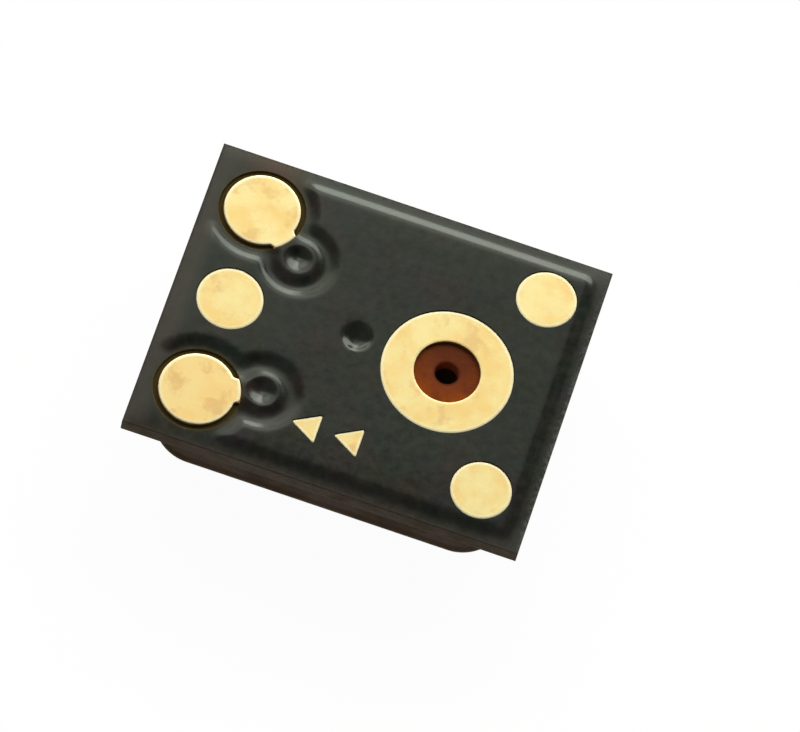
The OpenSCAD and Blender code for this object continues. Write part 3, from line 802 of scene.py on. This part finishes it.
def lid_profile():
    """From the middle of the inner floor, up the inner wall, over the rim and down outside."""
    flat = [LID_EDGE_R + share * (LID_CORNER_R - LID_EDGE_R) for share in LID_FLAT_SHARES]
    bend = (LID_EDGE_R, LID_EDGE_R)
    rim_z = Z_RIM - RIM_R
    walls = np.linspace(LID_EDGE_R, rim_z, LID_WALL_STEPS + 1)[1:]
    return [
        *[(inset, LID_SHEET) for inset in flat],
        *arc(bend, LID_EDGE_R - LID_SHEET, 270, 180, LID_EDGE_STEPS),
        *[(LID_SHEET, z) for z in walls],
        *arc((LID_SHEET - RIM_R, rim_z), RIM_R, 0, 90, RIM_STEPS)[1:],
        *arc((RIM_R, rim_z), RIM_R, 90, 180, RIM_STEPS),
        *[(0, z) for z in walls[-2::-1]],
        *arc(bend, LID_EDGE_R, 180, 270, LID_EDGE_STEPS),
        *[(inset, 0) for inset in flat[::-1]],
    ]


def lid_shell(material):
    shell = swept("lid_shell", lid_profile(), material, False, LID_SHARP)
    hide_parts("lid")


def waves(place, seed):
    """A slow uneven wave round the lid, between 0 and 1."""
    rng = np.random.default_rng(seed)
    total = np.zeros(len(place))
    for _ in range(WAVE_COUNT):
        way = rng.normal(size=2) * WAVE_TURNS
        total += np.sin(place @ way + rng.uniform(0, 6))
    return 0.5 + 0.5 * np.tanh(total / WAVE_SPREAD)


def solder_seam(material):
    """Solder under the rim, with a hollow fillet on either side of the sheet."""
    top = SOLDER_MAX.z
    reach_h = top - (Z_RIM - SEAM_H)
    # each fillet is a quarter of an ellipse, hollow towards the air
    turns = [math.pi / 2 * i / SEAM_STEPS for i in range(SEAM_STEPS + 1)]
    fillet = [(SEAM_W * (1 - math.sin(t)), top - reach_h * (1 - math.cos(t))) for t in turns]
    outer = [(-away, z) for away, z in fillet]
    inner = [(LID_SHEET + away, z) for away, z in fillet[::-1]]
    profile = outer + [(0, Z_RIM), (LID_SHEET, Z_RIM)] + inner
    seam = swept("solder_seam", profile, material, True, SEAM_SHARP,
                 SEAM_LEAST + (1 - SEAM_LEAST) * waves(lid_loop(0), SEAM_SEED))
    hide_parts("lid_solder")


# Materials


class Graph:
    """A node tree that is filled node by node. A plain colour is linear red, green and blue."""

    def __init__(self, owner, empty=True):
        owner.use_nodes = True
        self.tree = owner.node_tree
        if empty:
            self.tree.nodes.clear()

    def node(self, kind, props=None, **inputs):
        """A shader node. The name of an input is its label, or i and its number."""
        made = self.tree.nodes.new("ShaderNode" + kind)
        for key, value in (props or {}).items():
            setattr(made, key, value)
        for key, value in inputs.items():
            place = int(key[1:]) if key[0] == "i" and key[1:].isdigit() else key.replace("_", " ")
            self.feed(made.inputs[place], value)
        return made

    def feed(self, socket, value):
        """Links another node's output to an input, or sets the input's own value."""
        if isinstance(value, bpy.types.NodeSocket):
            self.tree.links.new(value, socket)
        elif socket.type == "RGBA":
            socket.default_value = (*value, 1.0)
        else:
            socket.default_value = value

    def math(self, operation, a, b=0.0):
        return self.node("Math", {"operation": operation}, i0=a, i1=b).outputs[0]

    def times(self, a, b):
        return self.math("MULTIPLY", a, b)

    def vector(self, operation, a, **inputs):
        return self.node("VectorMath", {"operation": operation}, i0=a, **inputs).outputs

    def axes(self, vector):
        """The outputs X, Y and Z of a vector."""
        return self.node("SeparateXYZ", Vector=vector).outputs

    def remap(self, value, low, high, to_low=0.0, to_high=1.0):
        """A smooth step that is to_low where value is low, and to_high where it is high."""
        made = self.node("MapRange", {"interpolation_type": "SMOOTHSTEP"}, Value=value,
                         From_Min=low, From_Max=high, To_Min=to_low, To_Max=to_high)
        return made.outputs["Result"]

    def blend(self, share, a, b, way="MIX"):
        props = {"data_type": "RGBA", "blend_type": way}
        return self.node("Mix", props, i0=share, i6=a, i7=b).outputs[2]


class Look(Graph):
    """A material with a Principled shader. Its textures count in millimetres."""

    def __init__(self, name, **settings):
        self.material = bpy.data.materials.new(name)
        super().__init__(self.material, empty=False)
        self.shader = self.tree.nodes["Principled BSDF"]
        self.shade(**settings)
        place = self.node("TexCoord").outputs["Object"]
        self.place = self.vector("SCALE", place, Scale=1 / MM)[0]
        self.base = None

    def shade(self, **inputs):
        """Feeds or sets inputs of the Principled shader."""
        for key, value in inputs.items():
            self.feed(self.shader.inputs[key.replace("_", " ")], value)

    def noise(self, scale, detail=3.0, roughness=0.55, distortion=0.0, output="Fac"):
        """Noise with as many lumps in a millimetre as scale says, which may differ by axis."""
        place = self.place
        if isinstance(scale, tuple):
            place, scale = self.vector("MULTIPLY", place, i1=scale)[0], 1.0
        made = self.node("TexNoise", Vector=place, Scale=scale, Detail=detail,
                         Roughness=roughness, Distortion=distortion)
        return made.outputs[output]

    def distance(self, x, y, z):
        """Distance in millimetres from a place given in metres."""
        return self.vector("DISTANCE", self.place, i1=(x / MM, y / MM, z / MM))["Value"]

    def upright(self, level, steep):
        """None where the normal's lift is level or more, and one where it is steep or less."""
        normal = self.node("NewGeometry").outputs["Normal"]
        return self.remap(self.math("ABSOLUTE", self.axes(normal)["Z"]), level, steep)

    def clouds(self, light, dark, scale, low, high, detail=4.0, roughness=0.6):
        """Starts the base colour with soft clouds of two colours."""
        cloud = self.remap(self.noise(scale, detail, roughness), low, high)
        self.base = self.blend(cloud, light, dark)

    def paint(self, share, color):
        """Lays a colour over the base colour."""
        self.base = self.blend(share, self.base, color)

    def uneven(self, scale, low, high, detail=3.0):
        """An uneven value, for roughness."""
        return self.remap(self.noise(scale, detail), *NOISE_MIDDLE, low, high)

    def dull_walls(self, wall_color):
        """Makes a metal's upright faces dull, as etching leaves them, and gives them a colour."""
        wall = self.upright(0.6, 0.2)
        self.shade(Metallic=self.remap(wall, 0, 1, 1.0, WALL_METALLIC))
        self.paint(wall, wall_color)

    def done(self, roughness, *layers):
        """Feeds base colour, roughness and bump layers of (height socket, height in metres)."""
        below = None
        for height, distance in layers:
            made = self.node("Bump", Height=height, Distance=distance, Strength=1.0)
            if below is not None:
                self.feed(made.inputs["Normal"], below)
            below = made.outputs["Normal"]
        self.shade(Base_Color=self.base, Roughness=roughness, Normal=below)
        return self.material


NOISE_MIDDLE = (0.3, 0.7)  # most of a noise lies between these
UPRIGHT = (0.7, 0.3)  # the normal's lift where a wall begins and where it is full
WALL_METALLIC = 0.1
PLASTIC_IOR = 1.5

# Solder mask: colours, and lengths in millimetres
MASK_GREEN, MASK_BROWN = (0.0205, 0.0255, 0.0185), (0.0280, 0.0240, 0.0198)
MASK_TINT_SHARE = 0.5
MASK_LEVELS = (1.45, 2.55)
SPECK_COLOR = (0.10, 0.095, 0.08)
SPECK_R = (0.045, 0.02)
RIM_COLOR = (0.060, 0.050, 0.038)
RIM_W = (0.012, -0.030)
RIM_FRAY = 0.06
# painted light along the -X rim
LEFT_PAINTED_LIGHT, LEFT_PAINTED_LIGHT_W = (0.070, 0.052, 0.042), (0.26, 0.10)
NEAR_DUST, NEAR_DUST_W = (0.062, 0.046, 0.033), (0.11, 0.02)
PALE_FLECK_COLOR = (0.180, 0.175, 0.165)
RIGHT_FLECK_W, FAR_FLECK_W = (0.075, -0.03), (0.045, -0.03)
CORNER_COLOR, CORNER_W = (0.090, 0.085, 0.075), (0.50, 0.05)
# painted glow of the gold round the signal openings
GOLD_GLOW_COLOR, GOLD_GLOW_W = (0.055, 0.036, 0.008), 0.060
PATCH_COLOR, PATCH_R, PATCH_IN = (0.095, 0.037, 0.015), (0.42, 0.05), 0.05
CUT_COLOR, OPENING_COLOR = (0.096, 0.068, 0.042), (0.17, 0.125, 0.040)
CUT_W = (0.05, 0.15)


def mask_material():
    look = Look("solder_mask", IOR=PLASTIC_IOR, Specular_Tint=(0.91, 1.0, 0.86))
    times, remap = look.times, look.remap
    look.clouds(MASK_GREEN, MASK_BROWN, 1.7, 0.35, 0.65, roughness=0.55)
    tint = look.noise(3.1, 4.0, 0.6, output="Color")
    tint = look.blend(MASK_TINT_SHARE, (0.5, 0.5, 0.5), tint)
    tinted = look.blend(1.0, look.base, tint, way="MULTIPLY")
    mottle = remap(look.noise(7.0, 5.0, 0.7), *NOISE_MIDDLE, *MASK_LEVELS)
    look.base = look.vector("SCALE", tinted, Scale=mottle)[0]
    speck = look.node("TexVoronoi", Vector=look.place, Scale=9.0).outputs["Distance"]
    chance = remap(look.noise(6.0, 1.0), 0.6, 0.66)
    look.paint(times(remap(speck, *SPECK_R), chance), SPECK_COLOR)
    # sawing leaves a thin matt rim along the board's edges and a matt cut through the mask
    apart = look.axes(look.vector("ABSOLUTE", look.place)[0])
    gap_x = look.math("SUBTRACT", HALF_L / MM, apart["X"])
    gap_y = look.math("SUBTRACT", HALF_W / MM, apart["Y"])
    gap = look.math("MINIMUM", gap_x, gap_y)
    frayed = look.math("SUBTRACT", gap, times(look.noise(22.0, 4.0, 0.6), RIM_FRAY))
    rim = remap(frayed, *RIM_W)
    look.paint(times(rim, 0.5), RIM_COLOR)
    # the sides differ: resin dust on the near rim; painted light on the -X rim, lighter and warmer
    # as light from that side makes it; pale flecks on the far and +X rims
    side = look.axes(look.place)
    near_gap = look.math("ADD", side["Y"], HALF_W / MM)
    far_gap = look.math("SUBTRACT", HALF_W / MM, side["Y"])
    right_gap = look.math("SUBTRACT", HALF_L / MM, side["X"])
    left_gap = look.math("ADD", side["X"], HALF_L / MM)
    # painted light: the -X rim is made lighter and warmer
    look.paint(remap(left_gap, *LEFT_PAINTED_LIGHT_W, 0.0, 0.6), LEFT_PAINTED_LIGHT)
    look.paint(times(remap(near_gap, *NEAR_DUST_W), 0.5), NEAR_DUST)
    # pale flecks along the far and +X rims
    flecks = remap(look.noise(26.0), 0.38, 0.64, 0.10, 1.0)
    flecked = look.math("MAXIMUM", remap(right_gap, *RIGHT_FLECK_W), remap(far_gap, *FAR_FLECK_W))
    look.paint(times(flecks, flecked), PALE_FLECK_COLOR)
    corner = remap(look.math("ADD", right_gap, gap_y), *CORNER_W)
    look.paint(times(corner, remap(side["Y"], -1.0, 1.0, 0.45, 0.9)), CORNER_COLOR)
    # painted glow: the gold's warm light spread over the mask round the signal contacts' openings;
    # and a warm patch beyond the output contact
    for s in SIGNALS:
        edge = s.opening_r / MM
        away = look.distance(*s.at, GOLD_TOP)
        look.paint(remap(away, edge + GOLD_GLOW_W, edge, 0.0, 0.65), GOLD_GLOW_COLOR)
    away = look.distance(SIGNALS[0].at[0], HALF_W - PATCH_IN * MM, GOLD_TOP)
    look.paint(remap(away, *PATCH_R, 0.0, 0.85), PATCH_COLOR)
    # the cut through the mask at the board's edge is browner than an opening's edge
    cut = look.upright(*UPRIGHT)
    look.paint(cut, look.blend(remap(gap, *CUT_W), CUT_COLOR, OPENING_COLOR))
    matt = look.math("MAXIMUM", cut, times(rim, 0.6))
    look.shade(Specular_IOR_Level=remap(matt, 0, 1, 0.5, 0.05))
    rough = look.math("ADD", look.uneven(14.0, 0.13, 0.21), times(rim, 0.2))
    swell, peel, grain = look.noise(1.3, 2.0), look.noise(12.0, 2.0), look.noise(90.0, 2.0)
    return look.done(rough, (swell, 3.0 * UM), (peel, 0.4 * UM), (grain, 0.06 * UM))


# Gold: colours, and lengths in millimetres
GOLD_LIGHT, GOLD_DARK = (1.0, 0.853, 0.40), (0.985, 0.731, 0.283)
TARNISH_COLOR, TARNISH_W = (1.0, 0.70, 0.27), (0.20, 0.10)
BLOT_COLOR = (0.84, 0.56, 0.23)
CLEAN_FROM, CLEAN_TO = 1.0, 1.2
# painted highlight along the plating's edges
GOLD_EDGE_HIGHLIGHT, GOLD_EDGE_HIGHLIGHT_W = (1.0, 0.93, 0.60), (0.042, 0.018)
PORT_EDGE_HIGHLIGHT_W = (0.06, 0.12)
GOLD_WALL_COLOR = (0.70, 0.44, 0.18)


def gold_material():
    look = Look("gold_plating")
    times, remap = look.times, look.remap
    look.clouds(GOLD_LIGHT, GOLD_DARK, 3.4, 0.36, 0.68)
    # the power contact is tarnished most
    power = SIGNALS[1]
    edge = power.r / MM
    tarnish = remap(look.distance(*power.at, GOLD_TOP), edge + TARNISH_W[0], edge + TARNISH_W[1])
    look.paint(times(tarnish, 0.5), TARNISH_COLOR)
    blot = remap(look.noise(4.2, 4.0, 0.6, 0.2), 0.50, 0.66)
    blot = times(blot, remap(tarnish, 0, 1, 0.65, 0.8))
    # the two contacts at the +X edge are the cleanest
    clean = remap(look.axes(look.place)["X"], CLEAN_FROM, CLEAN_TO, 1.0, 0.35)
    look.paint(times(blot, clean), BLOT_COLOR)
    # painted highlight: the plating is paler at its edges, but less so at the port
    gap = look.node("Attribute", {"attribute_name": "edge_gap"}).outputs["Fac"]
    edge = RING_INNER_R / MM
    from_port = look.distance(*PORT_AT, GOLD_TOP)
    outward = remap(from_port, edge + PORT_EDGE_HIGHLIGHT_W[0], edge + PORT_EDGE_HIGHLIGHT_W[1], 0.15, 0.75)
    look.paint(times(remap(gap, *GOLD_EDGE_HIGHLIGHT_W), outward), GOLD_EDGE_HIGHLIGHT)
    look.dull_walls(GOLD_WALL_COLOR)
    streak = look.noise((60.0, 7.0, 1.0), 2.0, 0.5, 0.4)
    grain, swell = look.noise(55.0, 4.0), look.noise(6.0, 2.0)
    return look.done(look.uneven(22.0, 0.40, 0.47), (swell, 0.7 * UM), (grain, 0.30 * UM),
                       (streak, 0.12 * UM))


# Laminate: colours of the resin round the port on its far and near sides, with painted shade
# on the far side, and others, and lengths in millimetres
INNER_FAR, INNER_NEAR = (0.177, 0.048, 0.019), (0.364, 0.074, 0.020)
OUTER_FAR, OUTER_NEAR = (0.157, 0.040, 0.010), (0.425, 0.089, 0.009)
RESIN_DARK, FIBRE_PALE = (0.19, 0.040, 0.016), (0.40, 0.112, 0.027)
BURNT_COLOR, BURNT_W = (0.060, 0.015, 0.006), 0.030
# painted shade in the gaps beside the signal contacts
GAP_SHADE_COLOR, NEAR_PORT_W = (0.085, 0.056, 0.011), (0.2, 0.1)
BORE_COLOR = (0.42, 0.14, 0.040)
SAWN_DARK, SAWN_PALE = (0.117, 0.083, 0.051), (0.154, 0.110, 0.068)


def laminate_material():
    look = Look("laminate", IOR=PLASTIC_IOR, Specular_IOR_Level=0.04)
    blend, remap, times = look.blend, look.remap, look.times
    bore, ring = PORT_R / MM, RING_INNER_R / MM
    away = look.distance(*PORT_AT, Z_CORE)
    # painted shade: round the port the resin is darker on its far side, where the ring's edge
    # would shade it, and paler on its near side
    nearer = remap(look.axes(look.place)["Y"], ring, -ring)
    look.base = blend(remap(away, bore, ring), blend(nearer, INNER_FAR, INNER_NEAR),
                      blend(nearer, OUTER_FAR, OUTER_NEAR))
    cloud = look.noise(5.0, 4.0)
    look.paint(times(remap(cloud, 0.42, 0.62), 0.6), RESIN_DARK)
    fibre = look.noise((9.0, 40.0, 9.0))
    look.paint(times(remap(fibre, 0.5, 0.7), 0.2), FIBRE_PALE)
    look.paint(times(remap(away, bore + BURNT_W, bore), 0.7), BURNT_COLOR)
    # painted shade: beside the signal contacts the resin in the narrow gaps under the mask's edge
    # is darkened
    near_port = remap(away, ring + NEAR_PORT_W[0], ring + NEAR_PORT_W[1])
    look.base = blend(near_port, GAP_SHADE_COLOR, look.base)
    # light comes through the resin round the port, so the bore's wall is light
    wall = look.upright(*UPRIGHT)
    look.paint(times(wall, near_port), BORE_COLOR)
    # the sawn edges are dark, with the cut glass fibres a little paler
    sawn = times(wall, look.math("SUBTRACT", 1.0, near_port))
    weave = look.noise((14.0, 14.0, 60.0), 4.0, 0.6)
    look.paint(sawn, blend(remap(weave, 0.35, 0.70), SAWN_DARK, SAWN_PALE))
    rough = remap(cloud, *NOISE_MIDDLE, 0.4, 0.6)
    return look.done(rough, (look.noise(70.0), 0.8 * UM), (weave, 1.5 * UM))


# Lid: colours, and the heights in millimetres between which its lower part turns darker, a painted
# shade near the floor
LID_DARK, LID_PALE = (0.037, 0.031, 0.028), (0.058, 0.049, 0.044)
LID_STAIN, LID_LOW_SHADE = (0.024, 0.017, 0.013), (0.018, 0.0155, 0.014)
LID_LOW_SHADE_Z = (0.300, 0.265)


def lid_material():
    look = Look("lid_metal", Metallic=1.0, Specular_Tint=(0.50, 0.46, 0.42))
    look.clouds(LID_DARK, LID_PALE, 2.5, 0.32, 0.7)
    stain = look.remap(look.noise(8.0, 5.0, 0.65, 0.8), 0.56, 0.70)
    look.paint(look.times(stain, 0.6), LID_STAIN)
    # painted shade: the lid turns darker towards the floor
    low = look.axes(look.place)["Z"]
    look.paint(look.remap(low, *LID_LOW_SHADE_Z, 0.0, 0.45), LID_LOW_SHADE)
    drawn, rolled = look.noise((70.0, 70.0, 3.0)), look.noise((2.0, 90.0, 2.0))
    return look.done(look.uneven(18.0, 0.30, 0.46), (rolled, 0.25 * UM), (drawn, 0.35 * UM),
                       (look.noise(60.0), 0.25 * UM))


# Plain looks: two colours, the least and most roughness, clouds in a millimetre, the height of
# the lumps, and a metal's wall colour or another solid's coat
SOLDER = ((0.52, 0.51, 0.49), (0.38, 0.37, 0.35), (0.32, 0.48), 10.0, 0.8 * UM)
METALS = {
    "copper": ((0.78, 0.36, 0.20), (0.60, 0.25, 0.13), (0.30, 0.45), 8.0, 0.4 * UM,
               (0.60, 0.34, 0.14)),
    "bond_metal": ((0.80, 0.80, 0.82), (0.66, 0.66, 0.69), (0.25, 0.38), 12.0, 0.2 * UM),
    "gold_wire": ((0.98, 0.72, 0.32), (0.92, 0.60, 0.24), (0.18, 0.28), 20.0, 0.1 * UM),
}
SOLIDS = {
    "silicon": ((0.26, 0.26, 0.24), (0.19, 0.19, 0.18), (0.18, 0.30), 5.0, 0.1 * UM, 0.3),
    "silicon_film": ((0.42, 0.36, 0.14), (0.30, 0.27, 0.12), (0.15, 0.25), 6.0, 0.05 * UM, 0.5),
    "adhesive": ((0.46, 0.40, 0.28), (0.36, 0.31, 0.21), (0.45, 0.6), 7.0, 1.0 * UM, 0.0),
}
PLAIN_CLOUDS = (0.32, 0.68)


def plain_metal(name, light, dark, roughness, scale, lump, wall_color=None):
    """A metal with clouded colour and a fine grain, for the solder, copper, pads and wires."""
    look = Look(name, Metallic=1.0)
    look.clouds(light, dark, scale, *PLAIN_CLOUDS)
    if wall_color:
        look.dull_walls(wall_color)
    return look.done(look.uneven(scale * 4, *roughness, detail=2.0),
                       (look.noise(scale * 3), lump), (look.noise(90.0, 2.0), lump / 4))


def plain_solid(name, light, dark, roughness, scale, lump, coat):
    """A clouded solid that isn't metal, for the chips, films and adhesive."""
    look = Look(name, IOR=PLASTIC_IOR, Coat_Weight=coat)
    look.clouds(light, dark, scale, *PLAIN_CLOUDS)
    return look.done(look.uneven(scale * 3, *roughness, detail=2.0),
                       (look.noise(scale * 4), lump))


def dress_hidden_nodes(gold, mask):
    """Gives the CAD nodes that stay as they are their materials."""
    looks = {"solder_mask": mask, "gold_plating": gold}
    looks.update({name: plain_metal(name, *look) for name, look in METALS.items()})
    looks.update({name: plain_solid(name, *look) for name, look in SOLIDS.items()})
    for part in frame["record"]["subparts"]:
        if part["material_slot"] in looks:
            mesh = frame["nodes"][part["node"]].data
            mesh.materials.clear()
            mesh.materials.append(looks[part["material_slot"]])


# Stage


def make_camera():
    """The camera stands where the photograph was taken from."""
    azimuth, elevation = CAMERA_AZIMUTH, CAMERA_ELEVATION
    flat = math.cos(elevation)
    back = Vector((math.sin(azimuth) * flat, -math.cos(azimuth) * flat, math.sin(elevation)))
    level = Vector((math.cos(azimuth), math.sin(azimuth), 0))
    steep = back.cross(level)
    right = level * math.cos(CAMERA_ROLL) + steep * math.sin(CAMERA_ROLL)
    up = back.cross(right)
    aside = (PHOTO_W / 2 - BOARD_AT_PX[0]) / PIXELS_PER_MM * MM
    above = (BOARD_AT_PX[1] - PHOTO_H / 2) / PIXELS_PER_MM * MM
    target = Vector((0, 0, MASK_TOP)) + right * aside + up * above
    data = bpy.data.cameras.new("camera")
    data.sensor_width = SENSOR_W
    data.lens = PIXELS_PER_MM * CAMERA_DISTANCE / MM * SENSOR_W / PHOTO_W
    data.clip_start, data.clip_end = CAMERA_CLIP
    camera = add_object("camera", data)
    turn = Matrix((right, up, back)).transposed().to_4x4()
    camera.matrix_world = Matrix.Translation(target + back * CAMERA_DISTANCE) @ turn
    bpy.context.scene.camera = camera
    return back


FLOOR_HALF = 0.6
FLOOR_ALBEDO = 0.80
FLOOR_GLOW = 0.965
FLOOR_SHADE = 0.06
WHITE = (1.0, 1.0, 1.0)


def make_floor():
    """A white floor. Seen directly or in a reflection it is near white, and keeps the shadow."""
    mesh = bpy.data.meshes.new("floor")
    h = FLOOR_HALF
    mesh.from_pydata([(-h, -h, 0), (h, -h, 0), (h, h, 0), (-h, h, 0)], [], [(0, 1, 2, 3)])
    floor = add_object("floor", mesh)
    material = bpy.data.materials.new("floor")
    look = Graph(material)
    path = look.node("LightPath").outputs
    seen = look.math("MAXIMUM", path["Is Camera Ray"], path["Is Glossy Ray"])
    seen = look.math("MAXIMUM", seen, path["Is Transmission Ray"])
    plain = look.node("BsdfDiffuse", Color=(FLOOR_ALBEDO,) * 3).outputs[0]
    shade = look.node("BsdfDiffuse", Color=(FLOOR_SHADE,) * 3).outputs[0]
    glow = look.node("Emission", Color=WHITE, Strength=FLOOR_GLOW).outputs[0]
    bright = look.node("AddShader", i0=shade, i1=glow).outputs[0]
    mixed = look.node("MixShader", i0=seen, i1=plain, i2=bright).outputs[0]
    look.node("OutputMaterial", Surface=mixed)
    mesh.materials.append(material)


# The world's light. Each pair is a range of slopes over which the light changes, and each
# number beside it is what the light changes by or to.
SKY = 0.64
SKY_WARMTH = (1.0, 0.99, 0.95)
SIDE_LIFT, SIDE_LIFT_FROM = 0.38, (0.003, 0.010)
SIDE_LIGHT, SIDE_LIGHT_FROM, SIDE_LIGHT_TO = 1.3, (-0.0165, -0.0060), (-0.48, -0.36)
CORNER_LIGHT, CORNER_FROM, CORNER_TO = 2.4, (0.34, 0.44), (0.72, 0.58)
FAR_LIGHT, FAR_FROM, FAR_TO = 1.6, (0.03, 0.055), (-0.13, -0.02)
SIDE_DARK, SIDE_DARK_FROM = 0.18, (0.012, 0.12)
NEAR_DARK = [((-0.006, 0.012), 0.75), ((-0.014, -0.003), 0.35), ((-0.09, -0.02), 0.40)]


def make_world(camera_way):
    """Soft light that is darker on the camera's side and from +X, and lighter from behind.

    It is told by the slope of a face that mirrors a direction to the camera: slope_x and
    slope_y are nothing where a level face does.
    """
    world = bpy.data.worlds.new("studio")
    bpy.context.scene.world = world
    sky = Graph(world)
    remap, times = sky.remap, sky.times
    way = sky.node("TexCoord").outputs["Generated"]
    half = sky.axes(sky.vector("ADD", way, i1=tuple(camera_way))[0])
    slope_x = sky.math("DIVIDE", half["X"], half["Z"])
    slope_y = sky.math("DIVIDE", half["Y"], half["Z"])
    corner = sky.math("SUBTRACT", slope_y, slope_x)
    level = remap(slope_x, *SIDE_LIFT_FROM, 1.0, 1.0 + SIDE_LIFT)
    for more in (
        times(remap(slope_x, *SIDE_LIGHT_FROM, SIDE_LIGHT, 0.0), remap(slope_x, *SIDE_LIGHT_TO)),
        times(remap(corner, *CORNER_FROM, 0.0, CORNER_LIGHT), remap(corner, *CORNER_TO)),
        times(remap(slope_y, *FAR_FROM), remap(slope_x, *FAR_TO, 0.0, FAR_LIGHT)),
    ):
        level = sky.math("ADD", level, more)
    level = times(level, remap(slope_x, *SIDE_DARK_FROM, 1.0, SIDE_DARK))
    for slopes, left in NEAR_DARK:
        level = times(level, remap(slope_y, *slopes, left, 1.0))
    level = times(level, SKY)
    path = sky.node("LightPath").outputs["Is Camera Ray"]
    level = sky.node("Mix", {"data_type": "FLOAT"}, i0=path, i2=level, i3=1.0).outputs[0]
    lit = sky.node("Background", Color=SKY_WARMTH, Strength=level).outputs[0]
    sky.node("OutputWorld", Surface=lit)


SOFTBOX_DISTANCE = 0.30
SOFTBOX_ELEVATION = math.radians(32.5)
SOFTBOX_AZIMUTH = math.radians(75)
SOFTBOX_W, SOFTBOX_H = 0.23, 0.13
SOFTBOX_RADIANCE = 3.85


def make_softbox():
    """A wide low softbox behind the board, whose reflection draws the slopes that face +Y."""
    data = bpy.data.lights.new("softbox", "AREA")
    data.shape = "RECTANGLE"
    data.size, data.size_y = SOFTBOX_W, SOFTBOX_H
    data.energy = SOFTBOX_RADIANCE * math.pi * SOFTBOX_W * SOFTBOX_H
    lamp = add_object("softbox", data)
    flat = math.cos(SOFTBOX_ELEVATION)
    way = Vector((flat * math.cos(SOFTBOX_AZIMUTH), flat * math.sin(SOFTBOX_AZIMUTH),
                  math.sin(SOFTBOX_ELEVATION)))
    lamp.location = way * SOFTBOX_DISTANCE
    lamp.rotation_mode = "QUATERNION"
    lamp.rotation_quaternion = way.to_track_quat("Z", "Y")
    lamp.visible_camera = False


bpy.context.scene.view_settings.view_transform = "Standard"
make_world(make_camera())
make_softbox()
make_floor()

gold = gold_material()
mask = mask_material()
dress_hidden_nodes(gold, mask)
skin = solder_mask(mask)
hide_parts("contact_side_mask")
gold_contacts(gold)
laminate_board(laminate_material())
lid_shell(lid_material())
solder_seam(plain_metal("solder", *SOLDER))
